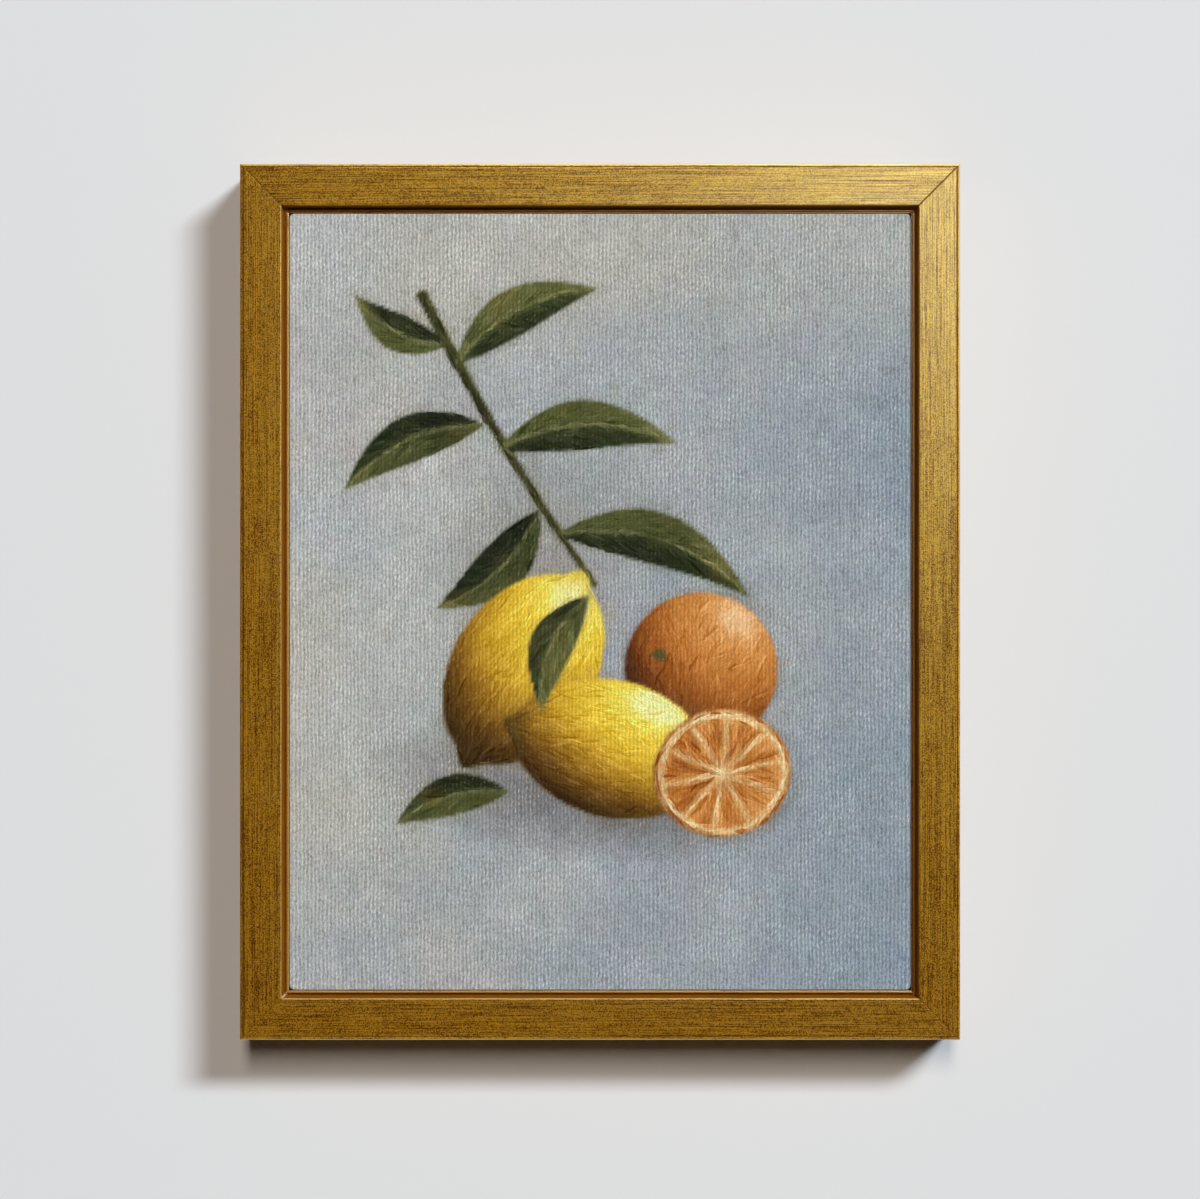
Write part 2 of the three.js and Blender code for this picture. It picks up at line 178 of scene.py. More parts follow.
class PAINTING_PG_picture(bpy.types.PropertyGroup):
    """Colours and handling of the still life."""

    seed: IntProperty(name="Seed", default=11, min=0, description="Start of every random draw in the paint")
    pixel: length("Painter's step", 0.42, "Step of the raster that the paint is worked out on", 0.0001)
    strokes: IntProperty(name="Raised strokes", default=2400, min=1, description="Number of raised strokes")
    stroke_height: length("Stroke height", 0.11, "Height of a raised stroke")


class PAINTING_PG_hardware(bpy.types.PropertyGroup):
    """Colours of the bars and the small parts behind."""

    pine: paint("Pine", (222, 184, 132), "Early wood of the stretcher bars")
    pine_rings: paint("Pine rings", (176, 122, 70), "Late wood of the stretcher bars")
    zinc: paint("Zinc", (196, 198, 196), "Zinc on screws, staples and corner nails")
    brass: paint("Brass", (206, 172, 104), "Brass wash on the hanger and its nails")
    felt: paint("Felt", (74, 70, 66), "Felt of the bumpers")


class PAINTING_PG_stage(bpy.types.PropertyGroup):
    """Camera, wall and lights."""

    distance: length("Camera distance", 1500.0, "From the camera to the front of the frame")
    lens: FloatProperty(name="Lens", default=137.9, min=1.0, unit="CAMERA", description="Focal length")
    drop: length("Picture drop", 0.8, "How far the painting's middle lies under the camera's line")
    wall: paint("Wall", (231, 231, 231), "Paint of the wall and the floor")
    key_power: light_power("Key light", 1010.0, "Soft light from the upper right")
    fill_power: light_power("Fill light", 520.0, "Tall soft light above the camera")
    shine_power: light_power("Shine", 1.33, "Small soft light that only gloss shows")
    rim_power: light_power("Rims", 14.0, "Soft light on the eased edges, that only gloss shows")


def settings(name):
    """One of the groups of settings, which the scene holds."""
    return getattr(bpy.context.scene, "painting_" + name)


class Number:
    """A number that varies over a finish: arithmetic on it adds the Math node that works it out."""

    def __init__(self, finish, socket):
        self.finish, self.socket = finish, socket

    def math(self, operation, *others, clamp=False):
        """One Math node with this number first."""
        chosen = {"operation": operation, "use_clamp": clamp}
        return self.finish.number("ShaderNodeMath", chosen, dict(enumerate((self, *others))))

    def __add__(self, other):
        return self.math("ADD", other)

    def __sub__(self, other):
        return self.math("SUBTRACT", other)

    def __rsub__(self, other):
        return self * -1 + other

    def __mul__(self, other):
        return self.math("MULTIPLY", other)

    def __truediv__(self, other):
        return self.math("DIVIDE", other)

    def __pow__(self, other):
        return self.math("POWER", other)

    __radd__, __rmul__ = __add__, __mul__

    def held(self):
        """The number kept between 0 and 1."""
        return self.math("ADD", 0.0, clamp=True)

    def between(self, low, high):
        """0 below low, 1 above high, and a smooth step between them."""
        chosen = {"interpolation_type": "SMOOTHSTEP"}
        asked = {"Value": self, "From Min": low, "From Max": high}
        return self.finish.number("ShaderNodeMapRange", chosen, asked)


class Finish:
    """A material, made node by node."""

    def __init__(self, name, tree=None):
        if tree is None:
            self.material = bpy.data.materials.new(name)
            self.material.use_nodes = True
            tree = self.material.node_tree
        self.tree = tree
        self.tree.nodes.clear()

    def node(self, kind, chosen=None, sockets=None):
        """A node of any kind: its settings, or a ramp's stops, are set first, then its sockets."""
        made = self.tree.nodes.new(kind)
        for key, value in (chosen or {}).items():
            if key == "stops":
                while len(made.color_ramp.elements) < len(value):
                    made.color_ramp.elements.new(1.0)
                for element, (place, colour) in zip(made.color_ramp.elements, value):
                    element.position, element.color = place, (*colour, 1.0)
            else:
                setattr(made, key, value)
        for key, value in (sockets or {}).items():
            named = [each for each in made.inputs if key in (each.identifier, each.name)]
            socket = named[0] if named else made.inputs[key]
            if isinstance(value, Number):
                value = value.socket
            if isinstance(value, bpy.types.NodeSocket):
                self.tree.links.new(value, socket)
            elif socket.type == "RGBA":
                socket.default_value = (*value, 1.0)
            else:
                socket.default_value = value
        return made

    def number(self, kind, chosen=None, sockets=None, output=0):
        """The number that a node gives out."""
        return Number(self, self.node(kind, chosen, sockets).outputs[output])

    def place(self):
        """Object coordinates in metres."""
        return self.node("ShaderNodeTexCoord").outputs["Object"]

    def scaled(self, vector, factors):
        """A vector with each part multiplied."""
        chosen = {"operation": "MULTIPLY"}
        return self.node("ShaderNodeVectorMath", chosen, {0: vector, 1: factors}).outputs[0]

    def parts(self, vector):
        """The three numbers of a vector."""
        split = self.node("ShaderNodeSeparateXYZ", None, {0: vector})
        return [Number(self, socket) for socket in split.outputs]

    def vector(self, *numbers):
        """Three numbers as a vector."""
        return self.node("ShaderNodeCombineXYZ", None, dict(enumerate(numbers))).outputs[0]

    def noise(self, vector, scale, detail=3.0, roughness=0.5):
        """Noise from 0 to 1, scale to the unit of the vector: one number, or one for each axis."""
        if not isinstance(scale, float):
            vector, scale = self.scaled(vector, scale), 1.0
        asked = {"Vector": vector, "Scale": scale, "Detail": detail, "Roughness": roughness}
        return self.number("ShaderNodeTexNoise", None, asked)

    def noted_colour(self, name):
        """A colour kept on the mesh's points."""
        return self.node("ShaderNodeAttribute", {"attribute_name": name}).outputs["Color"]

    def noted(self, name):
        """A number kept on the mesh's points."""
        return self.number("ShaderNodeAttribute", {"attribute_name": name}, None, "Fac")

    def mixed(self, factor, first, second, how="MIX"):
        """Two colours mixed."""
        chosen = {"data_type": "RGBA", "blend_type": how}
        asked = {"Factor_Float": factor, "A_Color": first, "B_Color": second}
        outputs = self.node("ShaderNodeMix", chosen, asked).outputs
        return next(socket for socket in outputs if socket.identifier == "Result_Color")

    def bump(self, height, distance, strength):
        """A normal with relief of that height in metres."""
        asked = {"Height": height, "Distance": distance, "Strength": strength}
        return self.node("ShaderNodeBump", None, asked).outputs[0]

    def done(self, **sockets):
        """Closes the material with its shader, whose sockets are named with _ for a space."""
        asked = {key.replace("_", " "): value for key, value in sockets.items()}
        shader = self.node("ShaderNodeBsdfPrincipled", None, asked)
        self.node("ShaderNodeOutputMaterial", None, {"Surface": shader.outputs[0]})
        return self.material


def grid_faces(rows, columns, closed=False):
    """Quads between the points of a grid kept row by row; closed joins the last column to the first."""
    last = columns if closed else columns - 1
    i, j = [part.ravel() for part in np.meshgrid(np.arange(rows - 1), np.arange(last), indexing="ij")]
    k = (j + 1) % columns
    return np.stack([i * columns + j, i * columns + k, (i + 1) * columns + k, (i + 1) * columns + j], axis=1)


def tube(rows, ring):
    """Quads between the rows of a tube, and the wide face at each of its ends."""
    ends = [np.arange(ring)[::-1], (rows - 1) * ring + np.arange(ring)]
    return grid_faces(rows, ring, closed=True), ends


def volume_of(points, faces):
    """Six times the volume inside closed faces of equal size, fanned into triangles."""
    first = points[faces[:, 0]]
    return sum(np.einsum("ij,ij->", first, np.cross(points[faces[:, k]], points[faces[:, k + 1]]))
               for k in range(1, faces.shape[1] - 1))


def build(name, points, quads, caps=(), materials=(), kinds=None, smooth_under=50.0):
    """A closed mesh object from points, quads and single wide faces, turned to face outwards."""
    centred = points - points.mean(axis=0)
    inside = volume_of(centred, quads) + sum(volume_of(centred, np.asarray(cap)[None]) for cap in caps)
    if inside < 0:
        quads, caps = quads[:, ::-1], [np.asarray(cap)[::-1] for cap in caps]
    mesh = bpy.data.meshes.new(name)
    sizes = np.array([4] * len(quads) + [len(cap) for cap in caps])
    corners = np.concatenate([quads.ravel(), *caps]).astype(np.int32)
    mesh.vertices.add(len(points))
    mesh.vertices.foreach_set("co", np.ascontiguousarray(points, np.float32).ravel())
    mesh.loops.add(len(corners))
    mesh.loops.foreach_set("vertex_index", corners)
    mesh.polygons.add(len(sizes))
    mesh.polygons.foreach_set("loop_start", (np.cumsum(sizes) - sizes).astype(np.int32))
    for material in materials:
        mesh.materials.append(material)
    if kinds is not None:
        mesh.polygons.foreach_set("material_index", np.asarray(kinds, np.int32))
    mesh.update(calc_edges=True)
    mesh.validate()
    mesh.shade_smooth()
    mesh.set_sharp_from_angle(angle=np.radians(smooth_under))
    piece = bpy.data.objects.new(name, mesh)
    bpy.context.scene.collection.objects.link(piece)
    return piece


def note(piece, **notes):
    """Keeps a number or a colour on each point of a piece, by the note's name."""
    for name, values in notes.items():
        values = np.asarray(values, np.float32)
        if values.size == len(piece.data.vertices):
            kept = piece.data.attributes.new(name, "FLOAT", "POINT")
            kept.data.foreach_set("value", values.ravel())
        else:
            kept = piece.data.attributes.new(name, "FLOAT_COLOR", "POINT")
            opaque = np.concatenate([values, np.ones((len(values), 1), np.float32)], axis=1)
            kept.data.foreach_set("color", opaque.ravel())


def blended(grid, i, j, s, t):
    """A grid's values between its points, on from row i by the share s and from column j by the share t."""
    low = grid[i, j] * (1 - s) + grid[i + 1, j] * s
    high = grid[i, j + 1] * (1 - s) + grid[i + 1, j + 1] * s
    return low * (1 - t) + high * t


def unwrap(piece, uv):
    """Keeps where each point of a piece lies on the grain, in metres, as its faces' UV layer."""
    layer = piece.data.uv_layers.new(name="grain")
    corners = np.empty(len(piece.data.loops), np.int32)
    piece.data.loops.foreach_get("vertex_index", corners)
    layer.uv.foreach_set("vector", uv[corners].astype(np.float32).ravel())


def clouds(x, z, cell, rng):
    """Soft noise from 0 to 1: random values a cell apart, blended by 3t^2 - 2t^3 between them."""
    u, v = (x - x.min()) / cell, (z - z.min()) / cell
    i, j = np.floor(u).astype(int), np.floor(v).astype(int)
    values = rng.random((i.max() + 2, j.max() + 2))
    s, t = u - i, v - j
    return blended(values, i, j, s * s * (3 - 2 * s), t * t * (3 - 2 * t))


def layered_clouds(x, z, cell, rng, layers=3):
    """Clouds of falling size, each half as wide and half as strong as the one before."""
    total = sum(clouds(x, z, cell / 2 ** k, rng) / 2 ** k for k in range(layers))
    return total / (2 - 0.5 ** (layers - 1))


def eased(corners, rounds):
    """A closed outline with each corner eased: (1-t)^2 A + 2t(1-t) C + t^2 B, between a point A before the
    corner C and a point B after it, both as far from C as the corner's round."""
    corners, rounds = np.asarray(corners, float), np.asarray(rounds, float)[:, None]
    before, after = np.roll(corners, 1, axis=0), np.roll(corners, -1, axis=0)
    start = corners + (before - corners) * rounds / np.linalg.norm(before - corners, axis=1, keepdims=True)
    end = corners + (after - corners) * rounds / np.linalg.norm(after - corners, axis=1, keepdims=True)
    t = np.linspace(0, 1, EASE_POINTS)[None, :, None]
    curve = (1 - t) ** 2 * start[:, None] + 2 * t * (1 - t) * corners[:, None] + t ** 2 * end[:, None]
    return curve.reshape(-1, 2), np.repeat(np.arange(len(corners)), EASE_POINTS)


def supported(loop, tags, reach):
    """A closed outline with a point added close to both ends of each long stretch, so that flat stretches
    shade flat."""
    step = np.roll(loop, -1, axis=0) - loop
    size = np.linalg.norm(step, axis=1)
    shares = np.stack([np.zeros_like(size), reach / size, 1 - reach / size], axis=1)
    used = np.stack([size > 0, size > 4 * reach, size > 4 * reach], axis=1)
    points = loop[:, None] + shares[..., None] * step[:, None]
    return points[used], np.repeat(tags[:, None], 3, axis=1)[used]


def rail_outline(kept):
    """The rail's section as (depth from the wall side, inset from the outer side), in millimetres, with the
    round of each corner and whether the stretch after it is gilded."""
    face, score, half = kept.face / MM, kept.score_inset / MM, kept.score_width / MM / 2
    slope, rib = kept.chamfer / MM, RIB_INSET - kept.rib / MM
    return [
        (BACK, 0.0, 0.3, True), (FRONT + 0.62 * slope, 0.0, 0.06, True), (FRONT, slope, 0.05, True),
        (FRONT, score - half, 0.05, True), (FRONT + kept.score_depth / MM, score, 0.08, True),
        (FRONT, score + half, 0.05, True), (FRONT, face, kept.lip_round / MM, True),
        (FRONT + 1.1, face + 0.12, 0.3, True), (WALL_FOOT, WALL_INSET, 0.15, True),
        (GROOVE_FLOOR, GROOVE_INSET, 0.1, True), (GROOVE_FLOOR, rib, 0.1, True), (RIB_TOP, rib, 0.25, True),
        (RIB_TOP, RIB_INSET, 0.22, True), (LEDGE, RIB_INSET, 0.2, True), (LEDGE, LEDGE_INSET, 0.3, False),
        (BACK - 1, LEDGE_INSET, 0.3, False), (BACK, LEDGE_INSET - 1, 0.3, False),
    ]


def gilding(kept):
    """Antique gold: brushed along the rail, over dark bole, with glaze in patches, specks and wear, painted
    shade in the hollows, painted highlights on the lit edges and a painted sheen towards the upper right.
    """
    finish = Finish("antique_gold")
    uv = finish.node("ShaderNodeUVMap", {"uv_map": "grain"}).outputs[0]
    along = finish.scaled(uv, (1 / MM, 1 / MM, 1.0))
    place = finish.place()
    lines = finish.noise(along, (0.012, 2.9, 1.0), 3.0, 0.65)
    scratched = finish.noise(along, (0.06, 3.2, 1.0), 2.0, 0.6)
    patches = finish.noise(place, 60.0, 4.0, 0.6)
    grit = finish.noise(place, 2900.0, 1.0, 0.5)
    mottle = finish.noise(place, 420.0, 4.0, 0.65)
    specks = grit.between(0.56, 0.66) * mottle.between(0.38, 0.58)
    scores = scratched.between(0.58, 0.66) * mottle.between(0.40, 0.58)
    mitre = finish.noted("mitre").between(0.00018, 0.00004)
    recess, wall, rubbed = finish.noted("recess"), finish.noted("wall"), finish.noted("rubbed")
    chip = finish.noted("chip").between(0.25, 0.5)
    worn = finish.noted("worn")
    streaks = (lines - 0.5) * 2.8 + (scratched - 0.5) * 2.6
    stains = (patches - 0.5) * 0.6 + (mottle - 0.5) * 0.4 + (grit - 0.5) * 3.2
    # Towards the upper right the streaks, stains and specks fade and the gold turns paler: a painted sheen.
    glazed = (streaks * (1 - worn * 0.25) + stains * (1 - worn * 0.6) + 0.45 - rubbed * 0.6).held()
    # The dark bole mix is part dirt and part painted shade: specks, scores and the mitre, with the shade of
    # the hollows.
    dirt_and_shade = ((specks * 0.40 + scores * 0.34) * (1 - worn * 0.75) + mitre * 0.5 + recess).held()
    gold = finish.mixed(glazed, kept.gold, kept.glaze)
    # The pale gold of the rubbed edges is partly rub and partly a painted highlight on the lit sides.
    gold = finish.mixed((rubbed * 0.5 + worn * 0.11).held(), gold, kept.bright)
    gold = finish.mixed(wall * 0.8, gold, kept.ember)
    colour = finish.mixed(dirt_and_shade, gold, kept.bole)
    # The pale chip paints a glint at the lower left mitre.
    colour = finish.mixed(chip, colour, kept.gesso)
    relief = lines * 0.6 + scratched * 0.5 - specks * 0.6 - scores * 0.4 + grit * 0.5
    normal = finish.bump(relief, 0.0001, 0.12)
    rough = (glazed * 0.02 + 0.30).held()
    metal = (0.78 - dirt_and_shade * 0.1 - wall * 0.4 - chip).held()
    return finish.done(Base_Color=colour, Metallic=metal, Roughness=rough, Normal=normal,
                       Specular_IOR_Level=0.25)


def bare_wood(name, light, dark, run):
    """Sawn pine: growth rings stretched along the bar, with pores and soft dirt. run is its length's axis."""
    finish = Finish(name)
    place = finish.place()
    squeeze = [120.0, 120.0, 120.0]
    squeeze[run] = 4.5
    drift = finish.noise(place, 18.0, 2.0)
    rings = finish.noise(place, squeeze, 1.0, 0.4)
    lines = ((rings * 9 + drift * 3).math("FRACT") - 0.5).math("ABSOLUTE") * 2
    fine = [1900.0, 1900.0, 1900.0]
    fine[run] = 70.0
    fibre = finish.noise(place, fine, 3.0, 0.6)
    colour = finish.mixed((lines.between(0.30, 1.0) * 0.45 + (fibre - 0.5) * 0.7 + 0.05).held(), light, dark)
    normal = finish.bump(lines * 0.4 + fibre * 0.6, 0.00008, 0.6)
    return finish.done(Base_Color=colour, Roughness=(fibre * 0.2 + 0.6).held(), Normal=normal)


def wear_and_painted_light(side, kept, loop, t, depth, inset, to_mitre, worn):
    """What the gilding reads on a rail's points, from 0 to 1: the inner wall; grime and painted shade in the
    scored line, painted shade at the wall's foot and on the rib of the top and right rails, and grime on the
    outer side;
    a pale chip at the lower left mitre that paints a glint; and rubbed edges with painted highlights where
    lit."""
    unlit = side in ("top", "right")
    at_face = loop[:, 0] * MM < -FACE_EDGE
    scored = (np.abs(loop[:, 1] * MM - kept.score_inset) < kept.score_width * 0.55) & at_face
    outer = np.clip((depth + FACE_EDGE) / OUTER_FADE, 0, 1) * (inset < OUTER_INSET)
    bead = inset > BEAD_INSET
    wall = np.clip((depth + WALL_TOP) / WALL_FADE, 0, 1) * (inset > kept.face) * ~bead
    # Painted shade: the inner wall darkens towards its foot.
    foot_shade = np.clip((depth + FOOT_TOP) / FOOT_FADE, 0, 1) * wall
    # Painted shade on the rib of the top and right rails, which the light doesn't reach.
    shaded = 0.5 + 0.4 * (inset < BEAD_TOP_INSET) if unlit else 0.0
    # The scored line's darkening is part grime and part painted shade; the foot and rib terms are painted
    # shade.
    grime_and_shade = scored * SCORE_GRIME_AND_SHADE[side] + foot_shade * 0.1 + bead * shaded
    # A pale chip on the inner wall at the lower left mitre, which paints a glint there.
    glint_end = {"left": 1, "bottom": -1}.get(side, 0)
    chip = wall * (t * glint_end > 0) * np.clip(1 - to_mitre / GLINT_FADE, 0, 1)
    # Painted highlight, with some rub: pale gold on the inner lip of the lit left and bottom rails, on the
    # rib, less where it is shaded, and on the outer edge by side.
    rubbed = np.exp(-((inset - kept.face) / LIP_FADE) ** 2) * (depth < -LIP_FOOT) * (not unlit)
    rubbed = rubbed + bead * (0.3 if unlit else 1.0)
    rubbed = rubbed + np.exp(-(inset / OUTER_INSET) ** 2) * RIM_RUB_AND_HIGHLIGHT.get(side, worn)
    return {"wall": wall, "recess": np.maximum(grime_and_shade, outer * 0.5), "chip": chip,
            "rubbed": rubbed * (depth < -BEAD_FOOT)}


def rail(side, kept, materials, rng):
    """One rail: the eased section carried along the rail, at t from -1 to 1 times the half length less the
    section's own inset, so that both ends lie in the plane of the mitre."""
    plan = rail_outline(kept)
    loop, corner = eased([point[:2] for point in plan], [point[2] for point in plan])
    loop, corner = supported(loop, corner, SUPPORT)
    gilt = np.array([point[3] for point in plan])[corner]
    half, across_half = (FRAME_HIGH - FRAME_LOW)[[2, 0] if side in UPRIGHT else [0, 2]] / 2
    even = np.linspace(-1, 1, int(round(2 * half / kept.station)) + 1)
    mitre_steps = np.array([0.0002, 0.0005, 0.001]) / half
    t = np.unique(np.concatenate([even, -1 + mitre_steps, 1 - mitre_steps]))[:, None]
    depth, inset = loop[None, :, 0] * MM, loop[None, :, 1] * MM
    front = np.clip((-HAND_START - depth) / HAND_FADE, 0, 1)
    sway = layered_clouds(t * half, np.zeros_like(t), SWAY_CELL, rng) - 0.5
    dip = layered_clouds(t * half, np.zeros_like(t), DIP_CELL, rng) - 0.5
    inset = inset + sway * 2 * kept.waver * front * (inset > 0.0005)
    reach = half - inset - kept.mitre_gap / 2 * front
    along, to_mitre = t * reach, (1 - np.abs(t)) * reach
    depth = depth + dip * kept.waver * front + kept.mitre_ease * front * np.exp(-to_mitre / MITRE_REACH)
    across = inset - across_half
    right, up = ((1, 0), (0, 1), (-1, 0), (0, -1))[SIDES.index(side)]
    x = MIDDLE[0] + right * along - up * across
    z = MIDDLE[2] + up * along + right * across
    points = np.stack([x, depth, z], axis=2).reshape(-1, 3)
    quads, ends = tube(*along.shape)
    kinds = np.concatenate([np.where(gilt[np.arange(len(quads)) % len(gilt)], 0, 1), [1, 1]])
    piece = build(f"gilded_rail_{side}", points, quads, ends, materials, kinds, 35.0)
    # Painted sheen: paler, cleaner gold towards the upper right corner, where the light's highlight falls.
    worn = np.exp(-((FRAME_HIGH[0] - x) ** 2 + (FRAME_HIGH[2] - z) ** 2) / SHEEN_REACH ** 2)
    note(piece, mitre=to_mitre, worn=worn, **wear_and_painted_light(side, kept, loop, t, depth, inset, to_mitre, worn))
    walk = np.concatenate([[0], np.cumsum(np.linalg.norm(np.diff(loop, axis=0), axis=1))]) * MM
    shift = 0.7 * SIDES.index(side)
    uv = np.stack([along + shift, np.broadcast_to(walk[None], along.shape)], axis=2).reshape(-1, 2)
    unwrap(piece, uv)
    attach(piece, PIECE_BODY)
    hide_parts(f"rail_{side}")


class PAINTING_OT_rails(bpy.types.Operator):
    """Makes the four gilded rails."""

    bl_idname = "painting.rails"
    bl_label = "Gilded rails"

    def execute(self, context):
        kept = settings("rails")
        gilt = gilding(kept)
        dark = tuple(part * 0.5 for part in kept.wood)
        rng = np.random.default_rng(5)
        for side in SIDES:
            run = 2 if side in UPRIGHT else 0
            plain = bare_wood(f"rail_back_{side}", kept.wood, dark, run)
            rail(side, kept, (gilt, plain), rng)
        return {"FINISHED"}


class Easel:
    """The picture while it is worked out: colours, stroke directions and fineness on a raster, in
    millimetres from the middle of the canvas."""

    def __init__(self, width, height, step, rng):
        self.step, self.rng = step, rng
        columns, rows = int(np.ceil(width / step)) + 1, int(np.ceil(height / step)) + 1
        self.left, self.low = -width / 2, -height / 2
        self.x, self.z = np.meshgrid(self.left + np.arange(columns) * step, self.low + np.arange(rows) * step)
        self.colour = np.zeros((rows, columns, 3))
        self.angle = np.zeros((rows, columns))
        self.fine = np.zeros((rows, columns))
        self.item = np.zeros((rows, columns), int)
        self.relief = np.zeros((rows, columns))

    def local(self, centre, degrees):
        """Coordinates along and across an axis through a centre."""
        c, s = np.cos(np.radians(degrees)), np.sin(np.radians(degrees))
        dx, dz = self.x - centre[0], self.z - centre[1]
        return dx * c + dz * s, dz * c - dx * s

    def clouds(self, cell, layers=3):
        """Layered clouds over the whole picture."""
        return layered_clouds(self.x, self.z, cell, self.rng, layers)

    def lay(self, mask, colour, angle=None, fine=None):
        """Covers the picture by a mask with colours, and with stroke directions in radians."""
        self.colour += mask[..., None] * (colour - self.colour)
        if angle is not None:
            self.angle = np.where(mask > 0.5, angle, self.angle)
        if fine is not None:
            self.fine = np.maximum(self.fine * (1 - mask), mask * fine)
            self.item = np.where(mask > 0.5, self.item.max() + 1, self.item)

    def steps_to(self, x, z):
        """How many steps of the raster lie left of a point, and how many under it."""
        return (x - self.left) / self.step, (z - self.low) / self.step

    def sample(self, raster, x, z):
        """A raster's value at any points, blended from the four nearest."""
        u, v = self.steps_to(x, z)
        u, v = np.clip(u, 0, raster.shape[1] - 1.001), np.clip(v, 0, raster.shape[0] - 1.001)
        i, j = u.astype(int), v.astype(int)
        s, t = u - i, v - j
        if raster.ndim == 3:
            s, t = s[..., None], t[..., None]
        return blended(raster.swapaxes(0, 1), i, j, s, t)

    def nearest(self, raster, x, z):
        """A raster's value at the nearest point."""
        u, v = [np.round(steps).astype(int) for steps in self.steps_to(x, z)]
        return raster[np.clip(v, 0, raster.shape[0] - 1), np.clip(u, 0, raster.shape[1] - 1)]

    def stroke(self, x, z, angle, reach, width, colour, strength, height, curve, streak):
        """One dab of paint: full along |u| < reach, fading at its ends and sides, with bristle lines that
        vary its colour by streak levels."""
        near = reach + width
        corners = np.array([self.steps_to(x - near, z - near), self.steps_to(x + near, z + near)])
        (j0, i0), (j1, i1) = np.clip(corners, 0, self.x.shape[::-1]).astype(int)
        if j1 - j0 < 2 or i1 - i0 < 2:
            return
        part = (slice(i0, i1), slice(j0, j1))
        dx, dz = self.x[part] - x, self.z[part] - z
        u = dx * np.cos(angle) + dz * np.sin(angle)
        v = (dz * np.cos(angle) - dx * np.sin(angle) + curve * u * u) / width
        bristles = np.interp(v, np.linspace(-1, 1, 9), self.rng.random(9))
        mask = np.clip((1 - (u / reach) ** 4) * 1.6, 0, 1) * np.clip((1 - v * v) * 1.4, 0, 1)
        mask *= strength * (0.55 + 0.45 * bristles)
        mask *= np.where(self.item[part] == self.nearest(self.item, x, z), 1.0, 0.03)
        patch = self.colour[part]
        patch += mask[..., None] * (colour + (bristles[..., None] - 0.5) * streak - patch)
        self.relief[part] += mask * (height * (0.4 + bristles) - self.relief[part])


def tones(value, stops):
    """Colours for values from 0 to 1 along evenly spaced stops."""
    stops = np.asarray(stops, float)
    places = np.linspace(0, 1, len(stops))
    return np.stack([np.interp(value, places, stops[:, k]) for k in range(3)], axis=-1)


def soft(distance, edge):
    """1 inside a shape and 0 outside, over a soft edge, from the distance to its outline."""
    t = np.clip(0.5 - distance / edge, 0, 1)
    return t * t * (3 - 2 * t)


def merged(first, second, blend):
    """The nearer of two distances, rounded where they meet."""
    near = np.clip(0.5 + 0.5 * (second - first) / blend, 0, 1)
    return second * (1 - near) + first * near - blend * near * (1 - near)


def over(colour, mask, paint):
    """Colours with a paint laid over them by a mask."""
    mask = mask[..., None]
    return colour * (1 - mask) + np.asarray(paint, float) * mask


LEMON = ((60, 40, 14), (106, 72, 22), (152, 110, 32), (192, 150, 42), (218, 182, 54), (236, 208, 80),
         (248, 234, 150))
ORANGE = ((58, 30, 14), (108, 58, 22), (150, 86, 34), (180, 112, 48), (204, 140, 74), (228, 182, 132))
LEAF = ((24, 28, 16), (38, 43, 24), (54, 60, 32), (78, 82, 44), (104, 106, 62), (142, 142, 96))
SUN = np.array((0.48, 0.62, 0.62))


def round_light(across, up, swell, degrees):
    """Light on a swelling form, from the two flat parts of its outward direction in its own axes."""
    c, s = np.cos(np.radians(degrees)), np.sin(np.radians(degrees))
    nx, ny = np.clip(across, -1, 1) * swell, np.clip(up, -1, 1) * swell
    nz = np.sqrt(np.clip(1 - nx ** 2 - ny ** 2, 0.01, 1))
    return (nx * c - ny * s) * SUN[0] + (nx * s + ny * c) * SUN[1] + nz * SUN[2]


def shade_under(easel, centre, size, degrees, depth):
    """A soft shadow on the ground, darkest at its middle."""
    p, q = easel.local(centre, degrees)
    rho = np.hypot(p / size[0], q / size[1])
    mask = np.clip(1 - rho, 0, 1) ** 0.8 * depth
    easel.lay(mask, (84, 84, 84) + easel.clouds(9)[..., None] * (24, 12, 0))


def lemon(easel, centre, half_length, half_width, degrees):
    """A lemon: the outline ((|p|/a)^1.85 + (q/b)^2)^(1/2) = 1 joined to a small knob at each end."""
    p, q = easel.local(centre, degrees)
    a, b = half_length, half_width
    body = (np.sqrt((np.abs(p) / a) ** 1.85 + (q / b) ** 2) - 1) * b
    knob = np.hypot((np.abs(p) - a * 0.99) / 1.25, q) - b * 0.13
    edge = merged(body, knob, 3.5)
    light = round_light(p / a, q / b, 0.96, degrees)
    tone = 0.15 + 0.70 * light + 0.10 * (easel.clouds(7) - 0.5) + 0.25 * np.clip(-light, 0, 1)
    glint = np.exp(-((1 - light) / 0.035)) * 0.35
    green = np.array((150, 142, 62)) * (0.55 + 0.5 * light[..., None])
    colour = over(tones(tone + glint, LEMON), np.clip(np.abs(p) / a - 0.72, 0, 1) * 0.9, green)
    bend = np.arctan(-q * p / (a * a - p * p + 0.12 * a * a))
    easel.lay(soft(edge - 1.2, 4.5) * 0.28, (126, 104, 62))
    easel.lay(soft(edge, 1.5), colour, np.radians(degrees) + np.clip(bend, -1.2, 1.2), 1.0)


